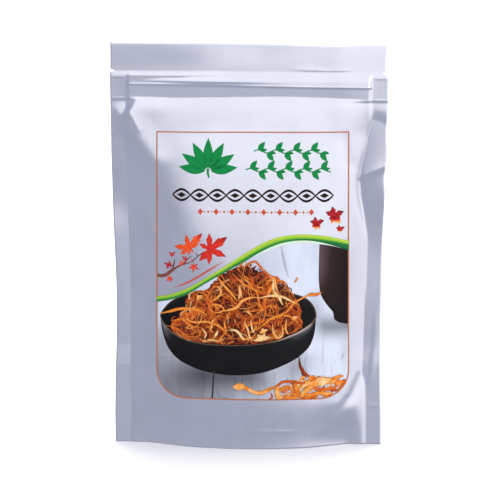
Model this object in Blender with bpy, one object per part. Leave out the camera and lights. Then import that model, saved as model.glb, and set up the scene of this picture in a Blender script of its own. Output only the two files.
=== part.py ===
"""A foil stand-up pouch: two film panels, a folded bottom gusset, a press-to-close zip and its dry filling.

The pouch stands closed and full on its open base. +X runs across it, the printed front faces -Y, +Z is up,
and the origin is the middle of the base. The four edges are heat sealed. Between the seals the filling
pushes both panels out, so every level is a lens, and the lens is narrower where it is deeper.
"""

import math

import bmesh
import bpy

MM = 0.001

# Pouch
FLAT_WIDTH = 160 * MM
HEIGHT = 236 * MM
FILM = 0.15 * MM
GAP = 0.3 * MM
SIDE_SEAL = 9 * MM
BASE_BULGE = 16 * MM
BODY_BULGE = 18 * MM
BODY_BULGE_AT = 78 * MM

# Press-to-close zip: the strips' height, and their profile's sizes from the centre plane outwards
ZIP_BOTTOM = 204.8 * MM
ZIP_TOP = 218.3 * MM
STRIP = 0.2 * MM
STRIP_FACE = 0.85 * MM
STRIP_BACK = STRIP_FACE + STRIP
STEM_HALF_HEIGHT = 0.4 * MM
HEAD_HALF_HEIGHT = 0.9 * MM
HEAD_FROM, HEAD_TO = 0.1 * MM, 0.55 * MM
LIP_FROM, LIP_TO = 1.2 * MM, 1.6 * MM
HOOK_HALF_HEIGHT = 0.75 * MM
HOOK_FROM, HOOK_TO = -0.2 * MM, -0.55 * MM
CRUSH_RAMP = 2 * MM
STRIP_END_INSET = 0.6 * MM

# Tear notches, one V in each side seal
NOTCH_AT = 220.6 * MM
NOTCH_HEIGHT = 2.4 * MM
NOTCH_DEPTH = 3 * MM

# Gusset: its fold's height, and its weld line, low in the middle and steep towards the side seals
GUSSET_DEPTH = 45 * MM
GUSSET_CREST = 27 * MM
WELD_HEIGHT = 10 * MM
WELD_STEEPNESS = 6
ARCH_STEPS = 12

# Filling
FILL_TOP = 172 * MM
FILL_TOP_DROP = 26 * MM
FILL_SHOULDER = 40 * MM
FILL_REACH = 0.92
FILL_CLEARANCE = 0.6 * MM
FILL_LEAST_HALF = 0.8 * MM
FILL_COLUMNS, FILL_ROWS = 14, 14

# Levels that every panel's mesh has between its bottom edge and the zip, and the columns across a lens
BODY_LEVELS = 18
LENS_COLUMNS = (0.0, 0.2, 0.38, 0.54, 0.68, 0.8, 0.91, 1.0)

# Inner faces' distance from the centre plane, in the sealed edges
PLAIN_SEAL = GAP / 2
ZIP_SEAL = GAP / 2 + STRIP + GAP
ZIP_OPEN = STRIP_BACK + GAP
GUSSET_SEAL = GAP / 2 + FILM + GAP

FOIL = (0.72, 0.73, 0.80, 1.0)
CLEAR_PLASTIC = (0.85, 0.86, 0.88, 1.0)
DRIED_BROWN = (0.42, 0.17, 0.05, 1.0)


def smooth(t):
    """Ease from 0 to 1 as t goes from 0 to 1."""
    t = min(max(t, 0.0), 1.0)
    return t * t * (3 - 2 * t)


def ramp(value, start, end, low, high):
    """Ease from low to high as value goes from start to end."""
    return low + (high - low) * smooth((value - start) / (end - start))


def bulge(z):
    """How far the middle of a panel stands out at height z."""
    if z < BODY_BULGE_AT:
        return ramp(z, 0, BODY_BULGE_AT, BASE_BULGE, BODY_BULGE)
    t = min((z - BODY_BULGE_AT) / (ZIP_BOTTOM - BODY_BULGE_AT), 1.0)
    return BODY_BULGE * (1 - t * t) ** 1.15


def lens_half_width(z):
    """Half the chord between the side seals: the film's own width is fixed, so its arc's chord shrinks."""
    arc = FLAT_WIDTH - 2 * SIDE_SEAL
    return (arc + math.sqrt(arc * arc - 32 / 3 * bulge(z) ** 2)) / 4


def seal_offset(z):
    """Distance of a panel's inner face from the centre plane in the side seals, set by what is between."""
    if z > ZIP_TOP:
        return ramp(z, ZIP_TOP + GAP, NOTCH_AT, ZIP_SEAL, PLAIN_SEAL)
    if z > ZIP_BOTTOM - GAP:
        return ZIP_SEAL
    if z > GUSSET_DEPTH + FILM + GAP:
        low = ramp(z, GUSSET_DEPTH + FILM + GAP, GUSSET_DEPTH + 6 * MM, GUSSET_SEAL, PLAIN_SEAL)
        return max(low, ramp(z, ZIP_BOTTOM - 3 * MM, ZIP_BOTTOM - GAP, PLAIN_SEAL, ZIP_SEAL))
    return GUSSET_SEAL


def zip_offset(z):
    """What the interlocked profile adds to that distance between the side seals."""
    rise = ramp(z, ZIP_BOTTOM - 3 * MM, ZIP_BOTTOM - GAP, 0, 1)
    fall = ramp(z, ZIP_TOP + GAP, NOTCH_AT, 1, 0)
    return (ZIP_OPEN - ZIP_SEAL) * min(rise, fall)


def inner_face(x, z):
    """Distance of a panel's inner face from the centre plane at (x, z)."""
    half = lens_half_width(z)
    u = min(abs(x) / half, 1.0)
    over_profile = min(max((half - abs(x)) / CRUSH_RAMP, 0.0), 1.0)
    return seal_offset(z) + zip_offset(z) * over_profile + bulge(z) * (1 - u * u)


def columns(z):
    """The x of each mesh column at height z, from the left edge to the right edge."""
    half = lens_half_width(z)
    inside = [half * u for u in LENS_COLUMNS]
    right = inside[1:-1] + [half - CRUSH_RAMP, half, half + SIDE_SEAL]
    right.sort()
    return [-x for x in reversed(right)] + [0.0] + right


def levels():
    """The z of each mesh row, bottom to top, with a row at every change in the film's section."""
    body_top = ZIP_BOTTOM - 3 * MM
    body = [body_top * i / BODY_LEVELS for i in range(BODY_LEVELS + 1)]
    fixed = [
        GUSSET_DEPTH + FILM + GAP,
        GUSSET_DEPTH + 6 * MM,
        ZIP_BOTTOM - GAP,
        ZIP_TOP + GAP,
        NOTCH_AT - NOTCH_HEIGHT / 2,
        NOTCH_AT,
        NOTCH_AT + NOTCH_HEIGHT / 2,
        HEIGHT,
    ]
    spaced = [z for z in body if all(abs(z - f) > 2 * MM for f in fixed)]
    return sorted(spaced + fixed)


def notched(x, z):
    """Pull a point of the side edge in where it is the tip of the tear notch."""
    if abs(z - NOTCH_AT) < MM / 10:
        return math.copysign(abs(x) - NOTCH_DEPTH, x)
    return x


def add_object(name, bm, material):
    """Make an object of the mesh, with its faces pointing out."""
    bmesh.ops.recalc_face_normals(bm, faces=bm.faces)
    mesh = bpy.data.meshes.new(name)
    bm.to_mesh(mesh)
    bm.free()
    mesh.materials.append(material)
    mesh.shade_smooth()
    mesh.set_sharp_from_angle(angle=math.radians(35))
    obj = bpy.data.objects.new(name, mesh)
    bpy.context.scene.collection.objects.link(obj)
    return obj


def closed_between(near, far):
    """Close two grids of points, row for row, into one body with a rim around it."""
    bm = bmesh.new()
    sides = [[[bm.verts.new(p) for p in row] for row in grid] for grid in (near, far)]
    rows, cols = len(near), len(near[0])
    for grid in sides:
        for r in range(rows - 1):
            for c in range(cols - 1):
                bm.faces.new((grid[r][c], grid[r][c + 1], grid[r + 1][c + 1], grid[r + 1][c]))
    loop = [(0, c) for c in range(cols)] + [(r, cols - 1) for r in range(1, rows)]
    loop += [(rows - 1, c) for c in range(cols - 2, -1, -1)] + [(r, 0) for r in range(rows - 2, 0, -1)]
    for (r0, c0), (r1, c1) in zip(loop, loop[1:] + loop[:1]):
        bm.faces.new((sides[0][r0][c0], sides[0][r1][c1], sides[1][r1][c1], sides[1][r0][c0]))
    return bm


def build_panel(name, side, material):
    """One film panel from base to top edge. Side is -1 for the front and 1 for the back."""
    inner, outer = [], []
    for z in levels():
        xs = columns(z)
        xs[0], xs[-1] = notched(xs[0], z), notched(xs[-1], z)
        inner.append([(x, side * inner_face(x, z), z) for x in xs])
        outer.append([(x, side * (inner_face(x, z) + FILM), z) for x in xs])
    return add_object(name, closed_between(inner, outer), material)


def weld_height(u):
    """Height of the weld that joins the gusset to a panel, at the share u of the lens."""
    side_height = GUSSET_DEPTH - (GUSSET_SEAL - GAP - FILM / 2)
    return WELD_HEIGHT + (side_height - WELD_HEIGHT) * u**WELD_STEEPNESS


def gusset_section(x_share, beyond):
    """The gusset's middle line in one column, front hem to back hem, as (x, y, z) points."""
    top = weld_height(x_share)
    crest = GUSSET_CREST + (GUSSET_DEPTH - GUSSET_CREST) * x_share**2
    hem = [top * i / 4 for i in range(5)]

    def at(z):
        x = x_share * lens_half_width(z) + beyond
        return x, inner_face(x, z) - GAP - FILM / 2

    up = [(at(z)[0], -at(z)[1], z) for z in hem]
    x_top, y_top = at(top)
    arch = []
    for i in range(1, ARCH_STEPS):
        angle = math.pi * i / ARCH_STEPS
        arch.append((x_top, -y_top * math.cos(angle), top + (crest - top) * math.sin(angle)))
    down = [(x, -y, z) for x, y, z in reversed(up)]
    return up + arch + down


def offset_section(points, distance):
    """Shift a section's points across it in its own Y-Z plane. Its two ends keep their height."""
    moved = []
    for i, (x, y, z) in enumerate(points):
        before, after = points[max(i - 1, 0)], points[min(i + 1, len(points) - 1)]
        dy, dz = after[1] - before[1], after[2] - before[2]
        length = math.hypot(dy, dz)
        is_end = i in (0, len(points) - 1)
        shift_z = 0.0 if is_end else dy / length * distance
        moved.append((x, y - dz / length * distance, z + shift_z))
    return moved


def build_gusset(material):
    """The bottom film: two hems along the panels' feet, and the arch that joins them."""
    shares = [(u, 0.0) for u in LENS_COLUMNS] + [(1.0, SIDE_SEAL)]
    right = [gusset_section(u, beyond) for u, beyond in shares]
    left = [[(-x, y, z) for x, y, z in section] for section in reversed(right[1:])]
    sections = left + right
    upper = [offset_section(section, FILM / 2) for section in sections]
    lower = [offset_section(section, -FILM / 2) for section in sections]
    return add_object("bottom_gusset", closed_between(upper, lower), material)


def strip_web(side):
    """A flat strip, crushed towards the centre plane in the side seals. Returns its mesh."""
    half = lens_half_width(ZIP_TOP)
    end = half + SIDE_SEAL - STRIP_END_INSET
    xs = [-end, -half, CRUSH_RAMP - half, half - CRUSH_RAMP, half, end]
    middle = (ZIP_TOP + ZIP_BOTTOM) / 2
    steps = [STEM_HALF_HEIGHT] if side < 0 else [LIP_FROM, LIP_TO]
    upper = [middle + s for s in steps] + [ZIP_TOP]
    zs = [2 * middle - z for z in reversed(upper)] + upper
    near, far = [], []
    for z in zs:
        faces = [PLAIN_SEAL if abs(x) > half - MM else STRIP_FACE for x in xs]
        near.append([(x, side * y, z) for x, y in zip(xs, faces)])
        far.append([(x, side * (y + STRIP), z) for x, y in zip(xs, faces)])
    return closed_between(near, far)


def profile_faces(bm, side, low, high):
    """The web's inner faces between two heights from the zip's middle, over the profile's length."""
    middle = (ZIP_TOP + ZIP_BOTTOM) / 2
    bm.faces.ensure_lookup_table()
    found = []
    for face in bm.faces:
        centre = face.calc_center_median()
        flat = max(abs(v.co.y - side * STRIP_FACE) for v in face.verts) < MM / 100
        if flat and low < centre.z - middle < high and len(face.verts) == 4:
            found.append(face)
    return found


def extrude_to(bm, faces, y, z_map=None):
    """Extrude faces to the plane y, moving each new point's height by z_map. Returns the new end faces."""
    result = bmesh.ops.extrude_face_region(bm, geom=faces)
    bmesh.ops.delete(bm, geom=faces, context="FACES_ONLY")
    verts = [v for v in result["geom"] if isinstance(v, bmesh.types.BMVert)]
    for v in verts:
        v.co.y = y
        if z_map:
            v.co.z = z_map(v.co.z)
    return [f for f in result["geom"] if isinstance(f, bmesh.types.BMFace)]


def build_ridge_strip(material):
    """The strip on the front panel: a web with an arrow-shaped ridge."""
    bm = strip_web(-1)
    middle = (ZIP_TOP + ZIP_BOTTOM) / 2
    stem = profile_faces(bm, -1, -STEM_HALF_HEIGHT, STEM_HALF_HEIGHT)
    root = extrude_to(bm, stem, HEAD_FROM)

    def widen(z):
        return middle + math.copysign(HEAD_HALF_HEIGHT, z - middle)

    shelf = extrude_to(bm, root, HEAD_FROM, widen)
    extrude_to(bm, shelf, HEAD_TO)
    return add_object("zip_ridge_strip", bm, material)


def build_groove_strip(material):
    """The strip on the back panel: a web with two hooked lips that hold the ridge."""
    bm = strip_web(1)
    middle = (ZIP_TOP + ZIP_BOTTOM) / 2
    for sign in (-1, 1):
        low, high = sorted((sign * LIP_FROM, sign * LIP_TO))
        foot = profile_faces(bm, 1, low, high)
        lip = extrude_to(bm, foot, HOOK_FROM)
        extrude_to(bm, lip, HOOK_TO)
        inner_z = middle + sign * LIP_FROM
        hook = [
            face
            for face in bm.faces
            if all(abs(v.co.z - inner_z) < MM / 100 for v in face.verts)
            and HOOK_TO < face.calc_center_median().y < HOOK_FROM
        ]
        result = bmesh.ops.extrude_face_region(bm, geom=hook)
        bmesh.ops.delete(bm, geom=hook, context="FACES_ONLY")
        for v in result["geom"]:
            if isinstance(v, bmesh.types.BMVert):
                v.co.z = middle + sign * HOOK_HALF_HEIGHT
    return add_object("zip_groove_strip", bm, material)


def build_filling(material):
    """The loose dry filling as the space it takes up, from the gusset's arch to a rounded top."""
    front, back = [], []
    for r in range(FILL_ROWS + 1):
        rows = []
        for c in range(FILL_COLUMNS + 1):
            u = FILL_REACH * (2 * c / FILL_COLUMNS - 1)
            low = GUSSET_CREST + (GUSSET_DEPTH - GUSSET_CREST) * u * u + FILL_CLEARANCE + FILM
            high = FILL_TOP - FILL_TOP_DROP * u * u
            z = low + (high - low) * r / FILL_ROWS
            x = u * lens_half_width(z)
            shoulder = max(z - (high - FILL_SHOULDER), 0) / FILL_SHOULDER
            half = (inner_face(x, z) - FILL_CLEARANCE) * math.sqrt(max(1 - shoulder**2, 0))
            rows.append((x, max(half, FILL_LEAST_HALF), z))
        front.append([(x, -y, z) for x, y, z in rows])
        back.append(rows)
    return add_object("dried_filling", closed_between(front, back), material)


def make_material(name, color, roughness, metallic):
    """A Principled material with one colour."""
    material = bpy.data.materials.new(name)
    material.use_nodes = True
    shader = next(n for n in material.node_tree.nodes if n.type == "BSDF_PRINCIPLED")
    shader.inputs["Base Color"].default_value = color
    shader.inputs["Roughness"].default_value = roughness
    shader.inputs["Metallic"].default_value = metallic
    return material


def build_pouch():
    """Build every piece of the pouch."""
    build_panel("front_panel", -1, make_material("front_foil", FOIL, 0.35, 0.9))
    build_panel("back_panel", 1, make_material("back_foil", FOIL, 0.35, 0.9))
    build_gusset(make_material("gusset_foil", FOIL, 0.4, 0.9))
    build_ridge_strip(make_material("ridge_plastic", CLEAR_PLASTIC, 0.3, 0.0))
    build_groove_strip(make_material("groove_plastic", CLEAR_PLASTIC, 0.3, 0.0))
    build_filling(make_material("dried_strands", DRIED_BROWN, 0.8, 0.0))


for old in list(bpy.data.objects):
    bpy.data.objects.remove(old)
build_pouch()
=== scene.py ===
"""Dress the foil stand-up pouch: creased film, welded seams, the zip's ridges, the print and a plain studio.

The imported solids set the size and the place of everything. The three films are modelled again as thin,
creased sheets and stand in for their plain solids. The print is ink laid on the front film: a framed picture
of a bowl of dried strands under a green band, maple leaves and a few plain ornaments. Sizes are in
millimetres inside the classes, in the pouch's own axes: x across, z up, and "out" away from the pouch's
centre plane.
"""

from __future__ import annotations

import logging
import math
from dataclasses import dataclass, field
from enum import Enum

import bmesh
import bpy
import numpy as np
from mathutils import Matrix, Vector


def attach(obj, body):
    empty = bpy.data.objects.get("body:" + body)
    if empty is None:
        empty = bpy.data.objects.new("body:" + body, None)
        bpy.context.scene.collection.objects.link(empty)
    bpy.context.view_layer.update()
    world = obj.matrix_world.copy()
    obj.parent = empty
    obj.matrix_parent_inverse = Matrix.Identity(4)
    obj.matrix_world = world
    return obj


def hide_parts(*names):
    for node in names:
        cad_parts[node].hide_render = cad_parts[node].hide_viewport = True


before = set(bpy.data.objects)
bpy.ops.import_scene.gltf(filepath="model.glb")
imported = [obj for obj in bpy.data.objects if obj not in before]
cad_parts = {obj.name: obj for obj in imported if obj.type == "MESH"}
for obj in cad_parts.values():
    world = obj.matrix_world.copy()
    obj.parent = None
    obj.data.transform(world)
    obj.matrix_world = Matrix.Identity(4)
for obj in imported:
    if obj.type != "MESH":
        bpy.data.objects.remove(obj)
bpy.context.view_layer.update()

LOG = logging.getLogger("pouch")
MM = 0.001
BODY = "root"
Array = np.ndarray


# ---- Shader maths


class Value:
    """A shader socket that does arithmetic: an expression on values adds its Math nodes."""

    def __init__(self, shader: Shader, socket: object) -> None:
        """Wrap one output socket of a shader."""
        self.shader = shader
        self.socket = socket

    def __add__(self, other: object) -> Value:
        """Self plus other."""
        return self.shader.math("ADD", self, other)

    __radd__ = __add__

    def __sub__(self, other: object) -> Value:
        """Self minus other."""
        return self.shader.math("SUBTRACT", self, other)

    def __rsub__(self, other: object) -> Value:
        """Other minus self."""
        return self.shader.math("SUBTRACT", other, self)

    def __mul__(self, other: object) -> Value:
        """Self times other."""
        return self.shader.math("MULTIPLY", self, other)

    __rmul__ = __mul__

    def clamped(self) -> Value:
        """Self kept between 0 and 1."""
        return self.shader.math("ADD", self, 0.0, clamp=True)

    def step(self, start: float, end: float) -> Value:
        """Ease from 0 to 1 as self goes from start to end.

        Args:
            start: where the result is 0.
            end: where the result is 1; it may be below start.

        Returns:
            The eased value.
        """
        settings = {"interpolation_type": "SMOOTHSTEP"}
        if start < end:
            inputs = {"Value": self, "From Min": start, "From Max": end, "To Min": 0.0, "To Max": 1.0}
        else:
            inputs = {"Value": self, "From Min": end, "From Max": start, "To Min": 1.0, "To Max": 0.0}
        return self.shader.node("ShaderNodeMapRange", settings, inputs)


class Shader:
    """A material's node tree with one Principled shader."""

    def __init__(self, name: str) -> None:
        """Start a material.

        Args:
            name: the material's name.
        """
        self.material = bpy.data.materials.new(name)
        self.material.use_nodes = True
        self.tree = self.material.node_tree
        self.tree.nodes.clear()
        self.principled = self.tree.nodes.new("ShaderNodeBsdfPrincipled")
        output = self.tree.nodes.new("ShaderNodeOutputMaterial")
        self.tree.links.new(self.principled.outputs["BSDF"], output.inputs["Surface"])

    def _feed(self, target: object, source: object) -> None:
        """Feed an input socket.

        Args:
            target: the socket.
            source: a value to link to it, or a plain number, vector or colour to set on it.
        """
        if isinstance(source, Value):
            self.tree.links.new(source.socket, target)
        elif target.type == "RGBA" and len(source) == 3:
            target.default_value = (*source, 1.0)
        else:
            target.default_value = source

    def node(self, kind: str, settings: dict, inputs: dict, output: object = 0) -> Value:
        """Add a node.

        Args:
            kind: the node's type.
            settings: its properties, set before its sockets; "stops" fills a colour ramp.
            inputs: socket names or numbers with the values or plain numbers that they take.
            output: the name or number of the output wanted.

        Returns:
            That output.
        """
        made = self.tree.nodes.new(kind)
        for name, value in settings.items():
            if name == "stops":
                self._fill_ramp(made.color_ramp, value)
            else:
                setattr(made, name, value)
        for name, value in inputs.items():
            self._feed(made.inputs[name], value)
        return Value(self, made.outputs[output])

    @staticmethod
    def _fill_ramp(ramp: object, stops: list) -> None:
        """Set a ramp's stops.

        Args:
            ramp: the node's colour ramp.
            stops: (position, colour) pairs, in order.
        """
        while len(ramp.elements) < len(stops):
            ramp.elements.new(0.5)
        for element, (position, color) in zip(ramp.elements, stops):
            element.position = position
            element.color = (*color, 1.0)

    def math(self, operation: str, *operands: object, clamp: bool = False) -> Value:
        """Add a Math node on values or numbers and return its result."""
        settings = {"operation": operation, "use_clamp": clamp}
        return self.node("ShaderNodeMath", settings, dict(enumerate(operands)))

    def mix(self, share: object, first: object, second: object, blend: str = "MIX") -> Value:
        """Mix two colours.

        Args:
            share: how much of the second shows, as a value or a number.
            first: a colour, as a value or three numbers.
            second: a colour, as a value or three numbers.
            blend: the Mix node's blend type.

        Returns:
            The mixed colour.
        """
        colors = [c if isinstance(c, Value) else (*c, 1.0) for c in (first, second)]
        settings = {"data_type": "RGBA", "blend_type": blend}
        return self.node("ShaderNodeMix", settings, {0: share, 6: colors[0], 7: colors[1]}, 2)

    def ramp(self, position: Value, stops: list) -> Value:
        """A colour ramp of (position, colour) stops."""
        return self.node("ShaderNodeValToRGB", {"stops": stops}, {"Fac": position}, "Color")

    def place(self) -> Value:
        """The point's place on the pouch, in metres."""
        return self.node("ShaderNodeTexCoord", {}, {}, "Object")

    def scaled(self, vector: Value, scale: tuple) -> Value:
        """A vector multiplied part by part."""
        return self.node("ShaderNodeVectorMath", {"operation": "MULTIPLY"}, {0: vector, 1: scale})

    def parts(self, vector: Value) -> tuple:
        """A vector's three parts."""
        split = self.node("ShaderNodeSeparateXYZ", {}, {"Vector": vector})
        return tuple(Value(self, out) for out in split.socket.node.outputs)

    def noise(self, vector: Value, scale: float, detail: float = 3.0, rough: float = 0.5) -> Value:
        """Soft noise between 0 and 1 over a vector."""
        inputs = {"Vector": vector, "Scale": scale, "Detail": detail, "Roughness": rough}
        return self.node("ShaderNodeTexNoise", {}, inputs, 0)

    def attribute(self, name: str) -> Value:
        """A number that the mesh carries at each point."""
        return self.node("ShaderNodeAttribute", {"attribute_name": name}, {}, "Fac")

    def bump(self, height: Value, distance: float, strength: float) -> Value:
        """A bumped normal.

        Args:
            height: the height, from 0 to 1.
            distance: what 1 stands for, in metres.
            strength: the share of it that shows.

        Returns:
            The normal.
        """
        inputs = {"Height": height, "Distance": distance, "Strength": strength}
        return self.node("ShaderNodeBump", {}, inputs)

    def finish(self, **sockets: object) -> bpy.types.Material:
        """Feed the Principled shader.

        Args:
            sockets: what its sockets take, each by the socket's name with _ for a space.

        Returns:
            The finished material.
        """
        for name, value in sockets.items():
            self._feed(self.principled.inputs[name.replace("_", " ")], value)
        return self.material


# ---- Finishes


@dataclass(frozen=True)
class FoilFinish:
    """Satin plastic film over a thin metal layer: soft reflections, a faint grain and fine creases."""

    name: str
    tint: tuple = (0.80, 0.81, 0.90)
    roughness: float = 0.25
    worn: float = 0.90

    def build(self) -> bpy.types.Material:
        """Make the film's material.

        Returns:
            The material.
        """
        shader = Shader(self.name)
        place = shader.place()
        cloud = shader.noise(place, 38.0, 4.0)
        grain = shader.noise(shader.scaled(place, (1.0, 1.0, 0.35)), 900.0, 2.0)
        dimple = shader.noise(shader.scaled(place, (1.0, 1.0, 0.8)), 120.0, 3.0)
        drawn = shader.noise(shader.scaled(place, (1.0, 1.0, 0.22)), 110.0, 3.0)
        wear = 0.6 * cloud.step(0.3, 0.75) + 0.4 * drawn
        tint = shader.mix(wear, self.tint, tuple(c * self.worn for c in self.tint))
        rough = self.roughness + 0.09 * (cloud - 0.5) + 0.05 * (grain - 0.5)
        height = 0.75 * dimple + 0.25 * grain
        return shader.finish(
            Base_Color=tint,
            Roughness=rough,
            Metallic=1.0,
            Normal=shader.bump(height, 0.12 * MM, 0.35),
        )


@dataclass(frozen=True)
class PlasticFinish:
    """Milky polyethylene, as on the zip's two strips."""

    name: str = "zip_polyethylene"
    tint: tuple = (0.82, 0.84, 0.86)

    def build(self) -> bpy.types.Material:
        """Make the strips' material.

        Returns:
            The material.
        """
        shader = Shader(self.name)
        drawn = shader.noise(shader.scaled(shader.place(), (0.05, 1.0, 1.0)), 1500.0, 2.0)
        tint = shader.mix(drawn, self.tint, tuple(c * 0.92 for c in self.tint))
        return shader.finish(
            Base_Color=tint,
            Roughness=0.28 + 0.15 * drawn,
            Normal=shader.bump(drawn, 0.05 * MM, 0.5),
        )


@dataclass(frozen=True)
class FillingFinish:
    """Matted dry strands, brown to orange."""

    name: str = "dried_strands"

    def build(self) -> bpy.types.Material:
        """Make the filling's material.

        Returns:
            The material.
        """
        shader = Shader(self.name)
        place = shader.place()
        strands = shader.noise(shader.scaled(place, (1.0, 1.0, 0.12)), 420.0, 4.0)
        patch = shader.noise(place, 60.0, 2.0)
        stops = [(0.3, (0.10, 0.02, 0.01)), (0.5, (0.40, 0.11, 0.02)), (0.72, (0.72, 0.34, 0.08))]
        tint = shader.ramp(0.65 * strands + 0.35 * patch, stops)
        return shader.finish(
            Base_Color=tint,
            Roughness=0.62 + 0.25 * strands,
            Normal=shader.bump(strands, 0.6 * MM, 0.8),
        )


@dataclass(frozen=True)
class FloorFinish:
    """A plain pale studio sweep."""

    name: str = "studio_floor"
    tint: tuple = (0.93, 0.93, 0.94)

    def build(self) -> bpy.types.Material:
        """Make the floor's material."""
        shader = Shader(self.name)
        mottle = shader.noise(shader.place(), 3.0, 2.0)
        return shader.finish(Base_Color=self.tint, Roughness=0.85 + 0.05 * mottle)


# ---- The film's shape


def ease(t: Array) -> Array:
    """Ease from 0 to 1 as t goes from 0 to 1."""
    t = np.clip(t, 0.0, 1.0)
    return t * t * (3.0 - 2.0 * t)


def between(value: Array, start: float, end: float) -> Array:
    """Ease from 0 to 1 as value goes from start to end, either way up."""
    return ease((value - start) / (end - start))


def hump(value: Array, middle: float, width: float) -> Array:
    """A round hump of height 1 at the middle."""
    return np.exp(-(((value - middle) / width) ** 2))


@dataclass(frozen=True)
class Crease:
    """A line along which the film is pushed out or in.

    The points run along it. Looking from its first point to its last, the push fades over left_width on the
    left and over right_width on the right. A sharp crease has a fold line, and a soft one is a round dent.
    """

    points: tuple
    push: float
    left_width: float
    right_width: float
    sharp: bool = False
    fade: float = 0.25

    def height(self, x: Array, z: Array) -> Array:
        """How far this crease pushes the film out at each point.

        Args:
            x: places across the pouch.
            z: the heights there.

        Returns:
            The push there, in millimetres.
        """
        line = np.array(self.points, float)
        steps = np.hypot(*(line[1:] - line[:-1]).T)
        done, total = 0.0, steps.sum()
        best, along, side = np.full(x.shape, 1e9), np.zeros(x.shape), np.zeros(x.shape)
        for (x0, z0), (x1, z1), step in zip(line[:-1], line[1:], steps):
            dx, dz = (x1 - x0) / step, (z1 - z0) / step
            t = np.clip((x - x0) * dx + (z - z0) * dz, 0.0, step)
            away = np.hypot(x - x0 - t * dx, z - z0 - t * dz)
            nearer = away < best
            best = np.where(nearer, away, best)
            along = np.where(nearer, (done + t) / total, along)
            side = np.where(nearer, dx * (z - z0) - dz * (x - x0), side)
            done += step
        spread = best / np.where(side > 0, self.left_width, self.right_width)
        profile = np.exp(-spread) if self.sharp else np.exp(-(spread**2))
        ends = ease(along / self.fade) * ease((1.0 - along) / self.fade)
        return self.push * profile * ends


@dataclass(frozen=True)
class Waves:
    """A soft uneven surface: waves of many directions with lengths in a range."""

    seed: int
    shortest: float
    longest: float
    height: float
    count: int = 18

    def at(self, x: Array, z: Array) -> Array:
        """The surface's height.

        Args:
            x: places across the pouch.
            z: the heights there.

        Returns:
            The height of the waves at each point.
        """
        rng = np.random.default_rng(self.seed)
        total = np.zeros(np.broadcast(x, z).shape)
        for _ in range(self.count):
            angle, phase = rng.uniform(0, math.pi), rng.uniform(0, 2 * math.pi)
            length = rng.uniform(self.shortest, self.longest)
            k = 2 * math.pi / length
            total += np.sin(k * (x * math.cos(angle) + z * math.sin(angle)) + phase)
        return total * self.height / math.sqrt(self.count)


class Side(Enum):
    """The pouch's two panels, by the way each faces along Y."""

    FRONT = -1
    BACK = 1


FRONT_CREASES = (
    # the slack flank under the zip's left end, and the fold that starts it
    Crease(((-69, 180), (-65, 167), (-59.5, 152), (-53, 136), (-45, 116)), -1.1, 8.0, 4.5, fade=0.25),
    Crease(((-78, 203), (-73.5, 194.5), (-67, 184), (-59.5, 172), (-50, 160)), 1.4, 9.0, 4.0, fade=0.22),
    Crease(((-71, 200), (-67, 194), (-62, 184)), 0.35, 1.6, 1.4, sharp=True),
    # the pucker in the right seal, and the pull lines that lead to it
    Crease(
        ((74, 200), (71.5, 188), (67, 172), (64, 159.5), (63.2, 152), (65.5, 136)), -1.3, 8.0, 2.4, fade=0.2
    ),
    Crease(
        ((69.5, 180), (66.5, 167), (64.6, 158), (65, 149), (66.4, 137), (69, 122)), -1.7, 5.0, 2.0, fade=0.3
    ),
    Crease(((62, 160), (57, 172), (53, 190)), -0.35, 5.0, 3.0, fade=0.3),
    # the weld line of the gusset at the right foot, and its fainter twin at the left
    Crease(((70, 96), (69, 70), (66.5, 44), (60.5, 30), (50, 18)), -0.9, 3.4, 2.4, fade=0.2),
    Crease(((73, 90), (73, 60), (71, 40), (67, 28)), 0.4, 2.5, 3.5, fade=0.3),
    Crease(((58, 22), (47, 12), (36, 6)), 0.2, 2.2, 3.0, fade=0.3),
    Crease(((-68.5, 47), (-64, 38), (-56, 28), (-46, 17)), 0.45, 1.8, 2.8, fade=0.2),
    Crease(((-68.4, 33), (-68.6, 18), (-68.2, 7)), -0.35, 1.1, 1.1, fade=0.3),
    Crease(((-58.6, 30), (-58.9, 20), (-58.4, 9)), -0.4, 1.3, 0.9, fade=0.3),
    # the gusset's folded top and the weld's top show through the seals as fine steps
    Crease(((-78, 46.3), (-72, 46.8), (-66.5, 47)), 0.06, 0.6, 0.8, sharp=True, fade=0.1),
    Crease(((69, 23.8), (73, 23.4), (77, 23.6)), 0.16, 0.45, 0.6, sharp=True, fade=0.1),
    Crease(((-77, 10.8), (-60, 10.4), (-40, 10.6)), 0.12, 0.5, 0.7, sharp=True, fade=0.3),
    Crease(((-12, 10.6), (8, 10.9), (30, 10.4)), 0.22, 0.6, 0.8, sharp=True, fade=0.2),
    # slack above the zip, and a handling mark in the top flap
    Crease(((-70, 217.5), (-60, 219.6), (-50, 219.8), (-34, 218)), -0.9, 4.5, 1.8, fade=0.25),
    Crease(((-70, 233), (-66, 232), (-62, 233.5)), -0.7, 2.5, 2.5, fade=0.25),
    Crease(((20, 222.5), (45, 221.6), (66, 222.2)), 0.25, 0.7, 0.9, sharp=True, fade=0.3),
)
BACK_CREASES = (
    Crease(((69, 203), (60, 182), (48, 150)), -1.6, 6.0, 6.5, fade=0.15),
    Crease(((-70, 200), (-62, 178), (-56, 150)), -1.2, 6.0, 5.0, fade=0.2),
    Crease(((-62, 120), (-70, 121), (-77, 124)), 0.9, 3.5, 2.5, fade=0.2),
    Crease(((70, 90), (67, 44), (57, 24), (46, 12)), -1.0, 3.0, 2.5, fade=0.18),
    Crease(((-70, 84), (-67, 44), (-58, 25), (-47, 12)), -1.1, 2.5, 3.0, fade=0.18),
    Crease(((-20, 196), (4, 172), (20, 160)), -0.5, 5.0, 4.0, fade=0.3),
    Crease(((-30, 10.6), (0, 10.9), (30, 10.4)), 0.2, 0.6, 0.8, sharp=True, fade=0.2),
)


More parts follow.
